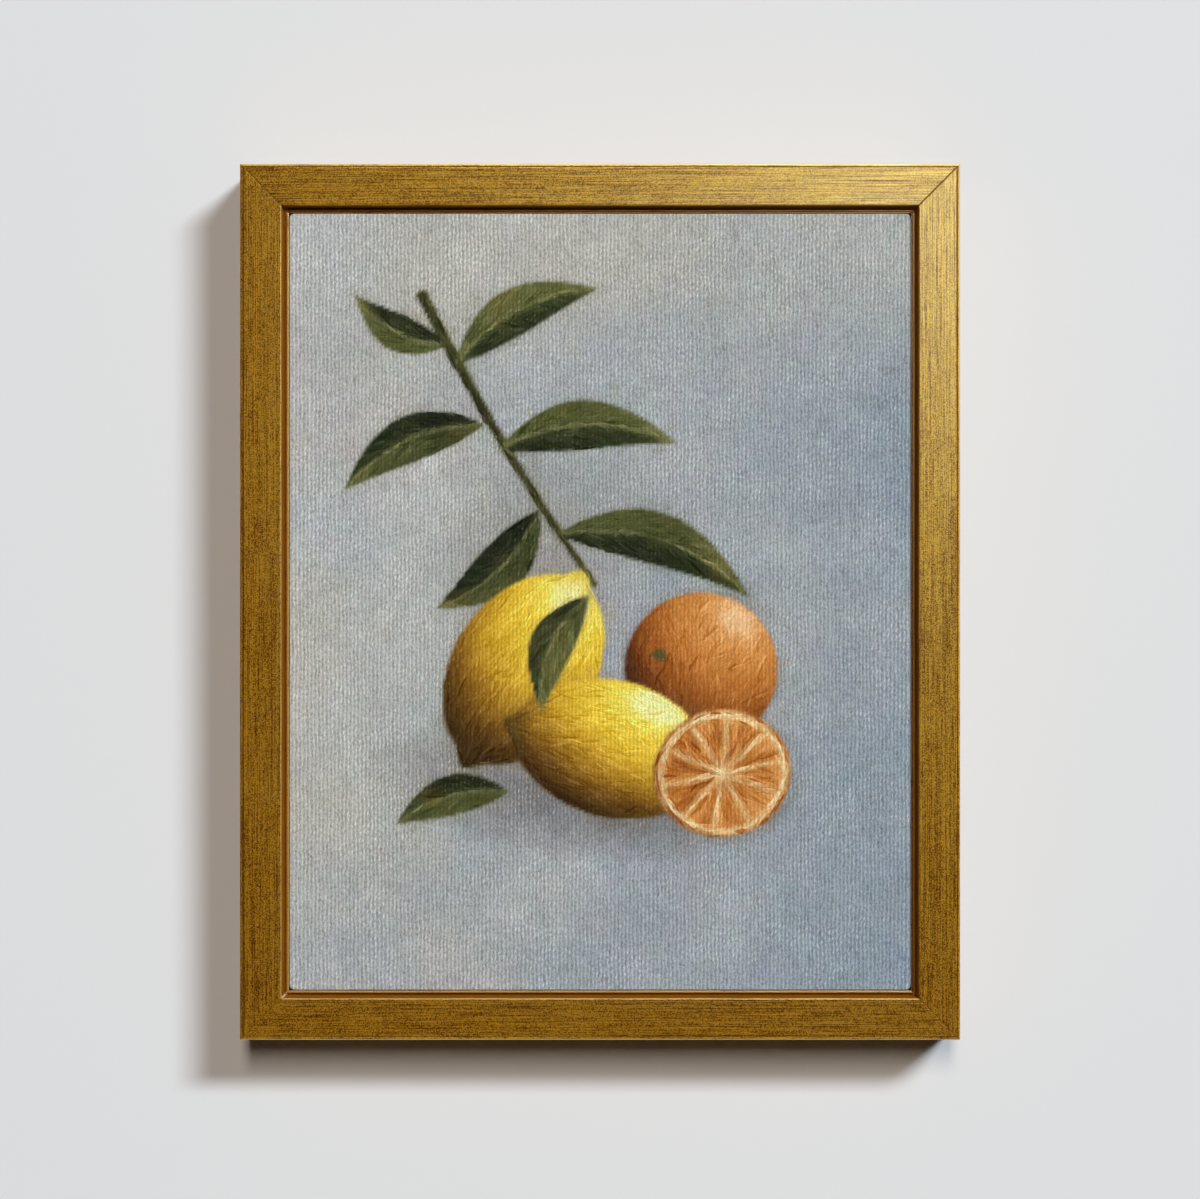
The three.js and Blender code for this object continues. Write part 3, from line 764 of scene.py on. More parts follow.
def orange(easel, centre, radius, degrees):
    """A whole orange: a disc lit as a ball, with a small green calyx."""
    p, q = easel.local(centre, degrees)
    rho = np.hypot(p, q)
    light = round_light(p / radius, q / radius, 0.97, degrees)
    tone = 0.14 + 0.70 * light + 0.09 * (easel.clouds(5) - 0.5) + np.exp(-((1 - light) / 0.03)) * 0.3
    tone += 0.2 * np.clip(-light, 0, 1)
    easel.lay(soft(rho - radius - 1.0, 4.0) * 0.3, (104, 72, 44))
    heading = np.arctan2(q + radius * 1.6, p) + np.radians(degrees + 90) + easel.clouds(9, 2) * 1.6
    easel.lay(soft(rho - radius, 1.4), tones(tone, ORANGE), heading, 1.0)
    star = np.hypot(p + radius * 0.42, q - radius * 0.38) - 2.3 - 0.8 * np.cos(5 * np.arctan2(q, p) * 3)
    easel.lay(soft(star, 1.4) * 0.85, tones(0.4 + 0.4 * light, LEAF), None, 1.0)


def cut_orange(easel, centre, radius, flat, degrees):
    """A halved orange: rind, pith and ten parts of pulp, on circles squeezed across by flat."""
    p, q = easel.local(centre, degrees)
    rho, turn = np.hypot(p, q / flat) / radius, np.arctan2(q / flat, p)
    part = (turn * 10 / (2 * np.pi) + 0.06 * np.sin(turn * 3)) % 1 - 0.5
    skin = 0.5 - np.abs(part)
    coarse = clouds(turn * 9 + 40, rho * 5, 1.0, easel.rng)
    grain = coarse * 0.6 + clouds(turn * 26 + 40, rho * 8, 1.0, easel.rng) * 0.4
    lit = 0.08 * (p * np.cos(np.radians(degrees)) + q * np.sin(np.radians(degrees))) / radius
    pulp = tones(0.26 + 0.62 * grain + lit + 0.25 * np.clip(rho - 0.45, -0.3, 0.4), ORANGE)
    pith = np.array((222, 190, 138)) + (easel.clouds(4) - 0.5)[..., None] * 26
    rind = tones(0.42 + 1.6 * lit + 0.2 * (easel.clouds(5) - 0.5), ORANGE)
    face = over(pulp, np.clip(1 - skin * rho * 9.0, 0, 1) * 0.85, pith)
    face = over(face, np.clip((rho - 0.84) / 0.03, 0, 1), pith)
    face = over(face, np.clip((0.13 - rho) / 0.05, 0, 1), pith)
    face = over(face, np.clip((rho - 0.92) / 0.03, 0, 1), rind)
    easel.lay(soft((rho - 1) * radius - 1.0, 4.0) * 0.3, (104, 76, 48))
    heading = np.where(rho > 0.82, turn + np.pi / 2, turn) + np.radians(degrees)
    easel.lay(soft((rho - 1) * radius * flat, 1.3), face, heading, 1.0)


def leaf(easel, base, degrees, reach, width, bend, lift=0.0):
    """A leaf from its base: half width w sin(pi t)^0.85 (1.2 - 0.4 t) at the share t of its length, about a
    midrib that bends by 4 bend t (1 - t)."""
    p, q = easel.local(base, degrees)
    t = np.clip(p / reach, 0.0, 1.0)
    q = q - bend * 4 * t * (1 - t)
    half = width * np.sin(np.pi * t) ** 0.85 * (1.2 - 0.4 * t)
    edge = np.maximum(np.abs(q) - half, np.maximum(-p, p - reach))
    side = np.clip(q / (half + 0.5), -1, 1)
    vein = ((p - np.abs(q) * 1.25) / 6.2) % 1
    tone = 0.40 + lift + 0.20 * np.tanh(side * 3) - 0.12 * side ** 2 + 0.24 * (easel.clouds(8) - 0.5)
    tone += 0.10 * np.exp(-((vein - 0.5) / 0.1) ** 2) + 0.14 * (t - 0.4)
    colour = over(tones(tone, LEAF), np.exp(-(q / 0.55) ** 2) * 0.7 * (t < 0.97), (136, 134, 88))
    colour = over(colour, np.clip(easel.clouds(14) - 0.55, 0, 1) * 1.1, (128, 104, 50))
    easel.lay(soft(edge - 0.6, 3.4) * 0.42, (116, 112, 74))
    slope = np.radians(degrees) + np.arctan(bend * 4 * (1 - 2 * t) / reach) + 0.45 * np.tanh(side * 2)
    easel.lay(soft(edge, 1.1), colour, slope, 1.0)


def twig(easel, knots, width):
    """A twig: the distance to a curve (1-t)^2 A + 2t(1-t) B + t^2 C, less a half width that tapers."""
    t = np.linspace(0, 1, 90)[:, None]
    a, b, c = np.asarray(knots, float)
    path = (1 - t) ** 2 * a + 2 * t * (1 - t) * b + t ** 2 * c
    edge, side = np.full(easel.x.shape, 1e3), np.zeros(easel.x.shape)
    for k, (px, pz) in enumerate(path):
        away = np.hypot(easel.x - px, easel.z - pz) - width * (1 - 0.45 * k / len(path))
        side = np.where(away < edge, easel.x - px + easel.z - pz, side)
        edge = np.minimum(edge, away)
    tone = 0.36 + 0.18 * np.tanh(side / width) + 0.2 * (easel.clouds(5) - 0.5)
    heading = np.arctan2(c[1] - a[1], c[0] - a[0])
    easel.lay(soft(edge - 0.6, 3.0) * 0.4, (112, 104, 70))
    easel.lay(soft(edge, 1.0), tones(tone, LEAF) * (1.06, 0.96, 0.9), heading, 1.0)


def ground(easel):
    """The mottled ground: cool greys in wide clouds, lighter towards the upper left, with veils of warm,
    pink, blue and pale grey."""
    slope = 0.48 - 0.30 * easel.x / 101 + 0.09 * easel.z / 127 + 0.3 * (easel.clouds(60) - 0.5)
    colour = tones(slope, ((122, 137, 151), (147, 154, 159), (167, 168, 165), (186, 188, 189)))
    amount = np.clip(0.1 + 1.7 * slope, 0, 1)
    warm = np.clip((0.62 - easel.clouds(60)) / 0.25, 0, 1) * 0.9 * amount
    colour = over(colour, warm, (174, 172, 163))
    for cell, veil, limit, most in ((44, (176, 165, 164), 0.55, 0.35), (50, (142, 154, 168), 0.52, 0.25),
                                    (24, (192, 193, 191), 0.56, 0.35)):
        mask = np.clip((easel.clouds(cell) - limit) / 0.25, 0, 1) * most * amount
        colour = over(colour, mask, veil)
    easel.lay(np.ones_like(slope), colour, easel.clouds(30, 2) * 5.0, 0.06)


# Leaves of the twig: base, heading in degrees, length, half width, bend and lightness.
LEAVES = (((-50, 84), 152, 34, 6.0, 4, 0.02), ((-47, 78), 28, 52, 7.5, 6, 0.10),
          ((-38, 58), 205, 50, 7.5, -6, -0.06), ((-33, 50), 2, 58, 8.0, 7, 0.06),
          ((-20, 30), 224, 46, 8.0, 5, -0.10), ((-14, 22), -18, 66, 8.5, 9, 0.0))

# Brushwork, first loose on the ground and then close on the motifs: number of strokes, half length, half
# width, strength, least fineness of what they go on, and how far they stray from its direction.
BRUSHWORK = ((2600, 8.0, 2.3, 0.50, 0.0, 0.9), (3600, 5.0, 1.5, 0.45, 0.0, 0.7),
             (3600, 4.2, 1.3, 0.60, 0.5, 0.22), (4200, 2.6, 0.85, 0.65, 0.5, 0.18))


def brushed(easel):
    """Goes over the laid-in picture with strokes of its own colours and directions, and gives both as they
    were before."""
    rng, target, heading, fine = easel.rng, easel.colour.copy(), easel.angle.copy(), easel.fine.copy()
    clear = np.ones(easel.item.shape, bool)
    for shift in (-3, 3):
        for axis in (0, 1):
            clear &= np.roll(easel.item, shift, axis) == easel.item
    for count, reach, wide, strength, among, sway in BRUSHWORK:
        x = rng.uniform(easel.left, -easel.left, count)
        z = rng.uniform(easel.low, -easel.low, count)
        if among:
            rows, columns = np.nonzero((fine > among) & clear)
            pick = rng.integers(0, len(rows), count)
            x, z = easel.x[0, columns[pick]], easel.z[rows[pick], 0]
        else:
            keep = easel.sample(fine, x, z) < 0.3
            x, z = x[keep], z[keep]
        shades = easel.sample(target, x, z) + rng.normal(0, 5 + 5 * among, (len(x), 1))
        shades += rng.normal(0, 2.0, (len(x), 3))
        turns = easel.nearest(heading, x, z) + rng.normal(0, sway, len(x))
        for k in range(len(x)):
            easel.stroke(x[k], z[k], turns[k], reach * rng.uniform(0.6, 1.2), wide * rng.uniform(0.7, 1.2),
                         shades[k], strength, 0.03, rng.uniform(-0.02, 0.02), 8 + 60 * among)
    return target, heading


@functools.lru_cache(maxsize=1)
def still_life(seed, step):
    """The whole picture: a leafy twig with two lemons, an orange and half an orange, on a mottled ground,
    first laid in softly and then gone over with strokes that follow the forms."""
    width, height = ((CLOTH_HIGH - CLOTH_LOW)[[0, 2]] / MM).tolist()
    easel = Easel(width, height, step / MM, np.random.default_rng(seed))
    ground(easel)
    shade_under(easel, (-16, -62), (64, 22), -8, 0.62)
    shade_under(easel, (30, -66), (40, 18), 6, 0.5)
    shade_under(easel, (-22, 18), (46, 30), 40, 0.28)
    twig(easel, ((-58, 100), (-34, 52), (-2, 6)), 1.9)
    for one in LEAVES:
        leaf(easel, *one)
    orange(easel, (33, -22), 25, 20)
    lemon(easel, (-25, -22), 34, 23.5, 58)
    lemon(easel, (4, -48), 33, 22.5, -14)
    cut_orange(easel, (40, -56), 22.5, 0.93, 12)
    leaf(easel, (-4, 2), -112, 40, 7.0, -5, 0.04)
    leaf(easel, (-30, -62), 196, 38, 6.5, -4, -0.04)
    return easel, *brushed(easel)


# How much lighter paint is made than its levels, its upper limit, and what the canvas's sides keep of it.
PAINT_LIFT, BRIGHTEST_PAINT, SIDE_SHARE = 1.17, 0.92, 0.93


def to_light(levels):
    """Scene linear colours for an array of levels, lifted for what the wall and the weave's grooves take."""
    return np.clip(linear_light(levels) * PAINT_LIFT, 0, BRIGHTEST_PAINT)


def weave(finish, pitch):
    """Plain weave from Object coordinates: a ridge each pitch across, each broken into slightly slanted
    dashes of uneven brightness, staggered from one ridge to the next, and sharpest where the paint is thin.
    Gives the weave's height and its light specks, 0 to 1."""
    place = finish.place()
    wander = finish.noise(place, 110.0, 2.0)
    jitter = finish.noise(place, (520.0, 520.0, 420.0), 2.0, 0.6)
    slub = finish.noise(place, (700.0, 700.0, 160.0), 2.0)
    x, _, z = finish.parts(place)
    ridge = (x + wander * 0.0012 + jitter * 0.0009) / pitch
    column = ridge.math("ROUND")
    off = ridge - column
    thread = ((off * 2 * np.pi).math("COSINE") * 0.5 + 0.5) ** 1.5
    chance = finish.number("ShaderNodeTexWhiteNoise", {"noise_dimensions": "1D"}, {"W": column * 0.71})
    climb = (z + jitter * 0.0026) / (pitch * 1.7) + column * 0.5 + chance * 0.9 - off * 0.5
    spot = finish.vector(column * 0.37, climb.math("ROUND") * 0.61, 0.0)
    luck = finish.number("ShaderNodeTexWhiteNoise", {"noise_dimensions": "2D"}, {"Vector": spot})
    dash = ((climb * 2 * np.pi).math("COSINE") * 0.5 + 0.5) * (luck * 0.9 + 0.45)
    fibre = finish.noise(place, (2300.0, 2300.0, 1500.0), 2.0, 0.65)
    tufts = finish.noise(place, 950.0, 2.0, 0.6)
    thin = finish.noise(place, 60.0, 3.0, 0.6).between(0.44, 0.60)
    rows = thread * (dash * (thin * 0.32 + 0.13) + 0.33)
    height = rows + (tufts - 0.5) * 0.7 + (fibre - 0.5) * 1.5 + slub * 0.3 + 0.18
    # Pale specks on the ridge tops: partly paint caught there, partly a painted highlight on the weave.
    specks = (thread * dash + (tufts - 0.5) * 1.6).between(0.58, 1.05) * fibre.between(0.44, 0.62)
    covered = finish.noted("covered")
    specks = specks * (thin * 0.48 + 0.06) * (1 - covered * 0.8)
    return (height - 0.5) * (1 - covered * 0.35) + 0.5, specks


def painted_cloth(kept):
    """Oil paint on cotton canvas: the picture's colours on the face and sides, then white priming, and raw
    cloth inside, all with the weave standing through."""
    finish = Finish("oil_on_cotton")
    place = finish.place()
    height, specks = weave(finish, kept.thread)
    wrap = finish.noted("wrap")
    colour = finish.noted_colour("paint")
    ragged = finish.noise(place, 260.0, 3.0)
    primed = (wrap - ragged * 0.007).between(0.0085, 0.0092)
    raw = wrap.between(0.4, 0.5)
    colour = finish.mixed(primed, colour, kept.priming)
    colour = finish.mixed(raw, colour, kept.raw)
    patchy = finish.noise(place, 900.0, 3.0, 0.6)
    # The weave's height darkens the grooves and lightens the ridges: partly thinner paint in the grooves,
    # partly painted shade and light on the weave.
    shaded = (height - 0.5) * 0.88 + (patchy - 0.5) * 0.10 + 0.98
    grey = finish.vector(shaded, shaded, shaded)
    colour = finish.mixed(1.0, colour, grey, "MULTIPLY")
    creamy, rosy = light_values(234, 229, 212), light_values(228, 208, 202)
    pale = finish.mixed(patchy.between(0.45, 0.60), creamy, rosy)
    colour = finish.mixed(specks, colour, pale)
    normal = finish.bump(height, 0.0002, 0.8)
    rough = (0.72 - specks * 0.2).held()
    return finish.done(Base_Color=colour, Roughness=rough, Normal=normal, Specular_IOR_Level=0.12)


def rounded(flat, size, corner):
    """Points on a sharp rectangle of half this size, held inside its corner centres and pushed out from them
    by the corner's round."""
    centre = np.clip(flat, -(size - corner), size - corner)
    out = flat - centre
    return centre + out / np.maximum(np.linalg.norm(out, axis=1, keepdims=True), 1e-9) * corner


def face_grid(half, kept):
    """The painted face's grid, row by row, with lines close together at its sides: the sharp points, the
    same points with the outer ones drawn in to the corner's round, and the numbers of rows and columns."""
    margin = np.array([0.0, 0.00035, 0.0008, 0.0014])
    lines = []
    for reach in half - kept.edge:
        steps = int(round(2 * (reach - margin[-1]) / kept.pitch))
        inner = np.linspace(-(reach - margin[-1]), reach - margin[-1], steps + 1)
        lines.append(np.concatenate([-(reach - margin[:-1]), inner, (reach - margin[:-1])[::-1]]))
    z, x = np.meshgrid(lines[1], lines[0], indexing="ij")
    sharp = np.stack([x.ravel(), z.ravel()], axis=1)
    deep = np.min(half - kept.edge - np.abs(sharp), axis=1)[:, None]
    corner = np.maximum(kept.corner - kept.edge - deep, 1e-7)
    drawn_in = rounded(sharp, half - kept.edge - deep, corner)
    return sharp, np.where(deep < kept.corner - kept.edge, drawn_in, sharp), x.shape


def cloth_path(kept, face, back):
    """The cloth's way over the edge of the face, along the side, round the back edge, inwards on the backs of
    the bars, and back again as its inner side. Each ring has its inset, its depth, its corner's round and how
    far along the cloth it lies, where 0.5 and more stands for raw cloth."""
    t, e, outer, inner = kept.thickness, kept.edge, kept.corner, 0.0006
    path = [(e * (1 - np.sin(a)), face + e * (1 - np.cos(a)), outer, e * a) for a in np.radians([30, 60, 90])]
    path += [(0.0, face + step, outer, step) for step in (0.006, 0.012)]
    path += [(e * (1 - np.cos(a)), back - e * (1 - np.sin(a)), outer, 0.019 + e * a)
             for a in np.radians([0, 45, 90])]
    path += [(inset, back, 0.0008, 0.02 + inset) for inset in (0.004, 0.011, 0.018)]
    path += [(kept.back_return, back - 0.0001, inner, 0.044), (kept.back_return, back - t, inner, 0.6)]
    path += [(0.012, back - t, inner, 0.7), (t + e, back - t, inner, 0.8)]
    return path + [(t, back - t - e, inner, 0.8), (t, face + t, inner, 0.8)]


def corner_folds(half, middle, back, material):
    """The cloth's folded corners on the back of the bars: at the share u of the diagonal from each corner, a
    section runs along the bar, thick at the diagonal and thinning to nothing, and flat under the ledge."""
    u = np.linspace(0, 1, 25)[:, None]
    section = np.array([(0.0, -0.15), (-0.012, 0.35), (-0.004, 0.8), (0.02, 1.0), (0.06, 0.97), (0.2, 0.8),
                        (0.45, 0.5), (0.75, 0.22), (1.0, 0.0), (1.0, -0.15)])
    deep = (1.0 + 22.3 * u) * MM
    wide = (7.0 + 9.0 * u) * MM
    clear = np.clip((deep - 0.0098) / 0.003, 0, 1)
    rise = (0.06 + 0.54 * clear * clear * (3 - 2 * clear)) * MM
    along, level = deep + section[None, :, 0] * wide, back + section[None, :, 1] * rise
    points, quads, caps = [], [], []
    rows, ring = along.shape
    for sx, sz in ((1, 1), (1, -1), (-1, 1), (-1, -1)):
        first = len(points) * rows * ring
        x = middle[0] + sx * (half[0] - along)
        z = middle[1] + sz * (half[1] - np.broadcast_to(deep, along.shape))
        points.append(np.stack([x, level, z], axis=2).reshape(-1, 3))
        bands, ends = tube(rows, ring)
        quads.append((bands if sx * sz > 0 else bands[:, ::-1]) + first)
        caps += [(end if sx * sz > 0 else end[::-1]) + first for end in ends]
    piece = build("corner_folds", np.concatenate(points), np.concatenate(quads), caps, (material,))
    count = len(points) * rows * ring
    note(piece, paint=np.full((count, 3), 0.5), wrap=np.full(count, 0.03))
    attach(piece, PIECE_BODY)
    return piece


class PAINTING_OT_canvas(bpy.types.Operator):
    """Makes the stretched cloth with its painted face, folded sides and back return."""

    bl_idname = "painting.canvas"
    bl_label = "Painted canvas"

    def execute(self, context):
        kept, picture = settings("canvas"), settings("picture")
        half = (CLOTH_HIGH - CLOTH_LOW)[[0, 2]] / 2
        middle = ((CLOTH_HIGH + CLOTH_LOW) / 2)[[0, 2]]
        face, back = CLOTH_LOW[1], CLOTH_HIGH[1]
        easel, _, _ = still_life(picture.seed, picture.pixel)
        sharp, flat, shape = face_grid(half, kept)
        x, z = (flat / MM).T
        swell = np.prod(np.cos(np.pi / 2 * flat / half), axis=1)
        depth = face + kept.sag * swell - easel.sample(easel.relief, x, z) * MM
        points = [np.stack([flat[:, 0], depth, flat[:, 1]], axis=1)]
        colours = [to_light(easel.sample(easel.colour, x, z))]
        wraps = [np.zeros(len(flat))]
        index = np.arange(len(flat)).reshape(shape)
        border = np.concatenate([index[0, :-1], index[:-1, -1], index[-1, :0:-1], index[:0:-1, 0]])
        outline = sharp[border] * half / (half - kept.edge)
        path = cloth_path(kept, face, back)
        for inset, level, corner, wrap in path:
            ring = rounded(outline * (half - inset) / half, half - inset, corner)
            points.append(np.stack([ring[:, 0], np.full(len(ring), level), ring[:, 1]], axis=1))
            colours.append(colours[0][border] * SIDE_SHARE)
            wraps.append(np.full(len(ring), wrap))
        points = np.concatenate(points) + np.array([middle[0], 0.0, middle[1]])
        starts = len(flat) + np.arange(len(path)) * len(border)
        loops = np.concatenate([border[None], starts[:, None] + np.arange(len(border))[None]])
        near, far = loops[:-1], loops[1:]
        bands = np.stack([near, np.roll(near, -1, axis=1), np.roll(far, -1, axis=1), far], axis=2)
        quads = np.concatenate([grid_faces(*shape), bands.reshape(-1, 4)])
        piece = build("painted_canvas", points, quads, [loops[-1]], (painted_cloth(kept),))
        covered = np.zeros(len(points))
        covered[:len(flat)] = easel.sample(easel.fine, x, z)
        note(piece, paint=np.concatenate(colours), wrap=np.concatenate(wraps), covered=covered)
        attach(piece, PIECE_BODY)
        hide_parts("canvas")
        folds = corner_folds(half, middle, back, piece.data.materials[0])
        return {"FINISHED"}


def stroke_places(easel, heading, most, rng):
    """Where raised strokes go: points on the motifs, with directions and half lengths, of which those are
    kept whose ends lie on the same motif."""
    rows, columns = np.nonzero(easel.item > 1)
    pick = rng.integers(0, len(rows), most * 2)
    x, z = easel.x[0, columns[pick]], easel.z[rows[pick], 0]
    turn = easel.nearest(heading, x, z) + rng.normal(0, 0.25, len(x))
    reach = rng.uniform(1.6, 4.6, len(x))
    here = easel.item[rows[pick], columns[pick]]
    within = [easel.nearest(easel.item, x + way * reach * np.cos(turn) * 1.2,
                            z + way * reach * np.sin(turn) * 1.2) == here for way in (-1, 1)]
    good = np.nonzero(within[0] & within[1])[0][:most]
    return x[good], z[good], turn[good], reach[good]


class PAINTING_OT_strokes(bpy.types.Operator):
    """Makes the raised strokes of thicker paint on the fruit and leaves."""

    bl_idname = "painting.strokes"
    bl_label = "Raised strokes"

    def execute(self, context):
        picture, kept = settings("picture"), settings("canvas")
        easel, target, heading = still_life(picture.seed, picture.pixel)
        rng = np.random.default_rng(picture.seed + 1)
        x, z, turn, reach = stroke_places(easel, heading, picture.strokes, rng)
        count = len(x)
        level = easel.sample(target, x, z)
        bright = level.mean(axis=1, keepdims=True) / 255
        lift = rng.normal(0.0, 1.0, (count, 1)) * (5 + 12 * bright)
        wide = rng.uniform(0.35, 0.75, (count, 1, 1))
        bow = rng.uniform(-0.5, 0.5, (count, 1))
        c, s = np.cos(turn)[:, None], np.sin(turn)[:, None]
        u = np.linspace(-1, 1, 7)[None, :]
        px = x[:, None] + u * reach[:, None] * c - bow * u ** 2 * s
        pz = z[:, None] + u * reach[:, None] * s + bow * u ** 2 * c
        taper = np.clip(1.02 - np.abs(u) ** 3, 0.05, 1)[:, :, None]
        profile = np.array([(-1.0, -0.5), (-0.55, 0.75), (0.0, 1.0), (0.55, 0.75), (1.0, -0.5)])
        side = wide * taper * profile[:, 0]
        rise = picture.stroke_height / MM * taper * profile[:, 1] * rng.uniform(0.5, 1.2, (count, 1, 1))
        gx, gz = px[:, :, None] - side * s[:, :, None], pz[:, :, None] + side * c[:, :, None]
        half = (CLOTH_HIGH - CLOTH_LOW)[[0, 2]] / 2 / MM
        swell = np.cos(np.pi / 2 * gx / half[0]) * np.cos(np.pi / 2 * gz / half[1])
        depth = CLOTH_LOW[1] + (kept.sag / MM * swell - easel.sample(easel.relief, gx, gz) - rise) * MM
        middle = (CLOTH_HIGH + CLOTH_LOW) / 2
        points = np.stack([gx * MM + middle[0], depth, gz * MM + middle[2]], axis=3).reshape(-1, 3)
        one, ends = tube(*gx.shape[1:])
        starts = np.arange(count)[:, None] * gx[0].size
        quads = (one[None] + starts[:, :, None]).reshape(-1, 4)
        caps = [*(ends[0] + starts), *(ends[1] + starts)]
        piece = build("raised_strokes", points, quads, caps, (bpy.data.materials["oil_on_cotton"],))
        along = easel.sample(target, px, pz) * 0.55 + level[:, None] * 0.45 + lift[:, None]
        shades = np.repeat(to_light(along)[:, :, None], len(profile), axis=2).reshape(-1, 3)
        note(piece, paint=shades, wrap=np.zeros(len(shades)), covered=np.ones(len(shades)))
        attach(piece, PIECE_BODY)
        return {"FINISHED"}


def dress(names, material):
    """Gives CAD nodes a finish."""
    for name in names:
        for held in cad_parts[name].material_slots:
            held.material = material


class PAINTING_OT_stretcher(bpy.types.Operator):
    """Gives the stretcher bars their pine."""

    bl_idname = "painting.stretcher"
    bl_label = "Stretcher bars"

    def execute(self, context):
        kept = settings("hardware")
        for run, sides in ((0, ("top", "bottom")), (2, UPRIGHT)):
            pine = bare_wood(f"pine_{sides[0]}", kept.pine, kept.pine_rings, run)
            dress([f"stretcher_bar_{side}" for side in sides], pine)
        return {"FINISHED"}


def plated(name, colour, grain):
    """Plated steel: drawn lines, dull patches and small dark marks."""
    finish = Finish(name)
    place = finish.place()
    drawn = finish.noise(place, grain)
    cloudy = finish.noise(place, 700.0, 3.0, 0.6)
    marks = finish.noise(place, 2200.0, 2.0).between(0.62, 0.75)
    dull = tuple(part * 0.45 for part in colour)
    shade = finish.mixed((cloudy.between(0.35, 0.75) * 0.5 + marks * 0.5).held(), colour, dull)
    rough = (cloudy * 0.25 + marks * 0.2 + 0.22).held()
    normal = finish.bump(drawn * 0.6 + cloudy * 0.4, 0.00003, 0.5)
    return finish.done(Base_Color=shade, Metallic=1.0, Roughness=rough, Normal=normal)


class PAINTING_OT_fasteners(bpy.types.Operator):
    """Gives screws, staples, nails and the hanger their plating."""

    bl_idname = "painting.fasteners"
    bl_label = "Fasteners and hanger"

    def execute(self, context):
        kept = settings("hardware")
        zinc = plated("zinc", kept.zinc, (900.0, 900.0, 200.0))
        brass = plated("brass_wash", kept.brass, (160.0, 900.0, 1800.0))
        hung = [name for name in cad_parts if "hanger" in name]
        small = [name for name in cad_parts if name.startswith(("screw", "staple", "corner_nail"))]
        dress(hung, brass)
        dress(small, zinc)
        return {"FINISHED"}


def felt(colour):
    """Pressed felt: matted hairs of mixed tone."""
    finish = Finish("pressed_felt")
    place = finish.place()
    hair = finish.noise(place, 2600.0, 4.0, 0.7)
    mat = finish.noise(place, 600.0, 3.0)
    pale = tuple(min(1.0, part * 1.9 + 0.02) for part in colour)
    shade = finish.mixed((hair.between(0.35, 0.75) * 0.6 + mat * 0.2).held(), colour, pale)
    normal = finish.bump(hair * 0.7 + mat * 0.5, 0.0002, 0.9)
    return finish.done(Base_Color=shade, Roughness=0.95, Normal=normal, Sheen_Weight=0.3)


class PAINTING_OT_bumpers(bpy.types.Operator):
    """Makes the two felt bumpers: a disc whose edge swells, by a profile turned about its axis."""

    bl_idname = "painting.bumpers"
    bl_label = "Felt bumpers"

    def execute(self, context):
        finish = felt(tuple(settings("hardware").felt))
        rng = np.random.default_rng(9)
        profile = np.array([(0.5, 0.0), (0.9, 0.0), (1.0, 0.05), (1.0, 0.3), (0.985, 0.55), (0.93, 0.8),
                            (0.82, 0.94), (0.62, 1.0), (0.3, 1.0)])
        turn = np.linspace(0, 2 * np.pi, 64, endpoint=False)[None, :]
        radius, rise = profile[:, :1], profile[:, 1:]
        for side in UPRIGHT:
            low, high = node_box([f"bumper_{side}"])
            fuzz = 1 - 0.025 * rng.random((len(profile), turn.size)) * (radius > 0.4)
            spread = (high[0] - low[0]) / 2 * radius * fuzz
            x = (low[0] + high[0]) / 2 + spread * np.cos(turn)
            z = (low[2] + high[2]) / 2 + spread * np.sin(turn)
            bulge = 1 - 0.03 * rng.random(x.shape) * (rise > 0.5)
            y = low[1] + (high[1] - low[1]) * rise * bulge
            points = np.stack([x, y, z], axis=2).reshape(-1, 3)
            piece = build(f"felt_bumper_{side}", points, *tube(*x.shape), (finish,))
            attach(piece, PIECE_BODY)
            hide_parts(f"bumper_{side}")
        return {"FINISHED"}


def sheet_on_stage(name, corners, material):
    """A flat stage surface from four corners, facing the side from which they run anticlockwise."""
    mesh = bpy.data.meshes.new(name)
    mesh.from_pydata(corners, [], [(0, 1, 2, 3)])
    mesh.materials.append(material)
    surface = bpy.data.objects.new(name, mesh)
    bpy.context.scene.collection.objects.link(surface)
    return surface


def around(middle, azimuth, elevation, distance, side):
    """A place at this distance from the middle, in degrees to the right and up, in front for side -1 and
    behind for side 1."""
    a, e = np.radians(azimuth), np.radians(elevation)
    way = np.array([np.tan(a), side, np.tan(e)])
    return tuple((way / np.linalg.norm(way) * distance + middle).tolist())


def area_light(name, place, aim, size, power, colour):
    """A soft light of width and height size at a place, turned to face its aim."""
    lamp = bpy.data.lights.new(name, "AREA")
    lamp.size, lamp.size_y = size
    lamp.energy, lamp.color = power, colour
    held = bpy.data.objects.new(name, lamp)
    bpy.context.scene.collection.objects.link(held)
    toward = Vector(aim) - Vector(place)
    held.location = place
    held.rotation_euler = toward.to_track_quat("-Z", "Y").to_euler()
    return held


def stage_paint(colour, name, hides):
    """Flat wall paint. A wall that hides lets looks and light through from behind."""
    finish = Finish(name)
    coat = finish.noise(finish.place(), 900.0, 3.0)
    normal = finish.bump(coat, 0.00002, 0.2)
    matt = finish.node("ShaderNodeBsdfDiffuse", None, {"Color": colour, "Normal": normal}).outputs[0]
    if hides:
        rays = finish.node("ShaderNodeLightPath").outputs
        first = Number(finish, rays["Ray Depth"]).math("LESS_THAN", 1.5)
        passed = (1 - Number(finish, rays["Is Camera Ray"])) * first
        behind = finish.node("ShaderNodeNewGeometry").outputs["Backfacing"]
        clear = finish.node("ShaderNodeBsdfTransparent").outputs[0]
        factor = passed.math("MAXIMUM", behind)
        matt = finish.node("ShaderNodeMixShader", None, {0: factor, 1: matt, 2: clear}).outputs[0]
    finish.node("ShaderNodeOutputMaterial", None, {"Surface": matt})
    return finish.material


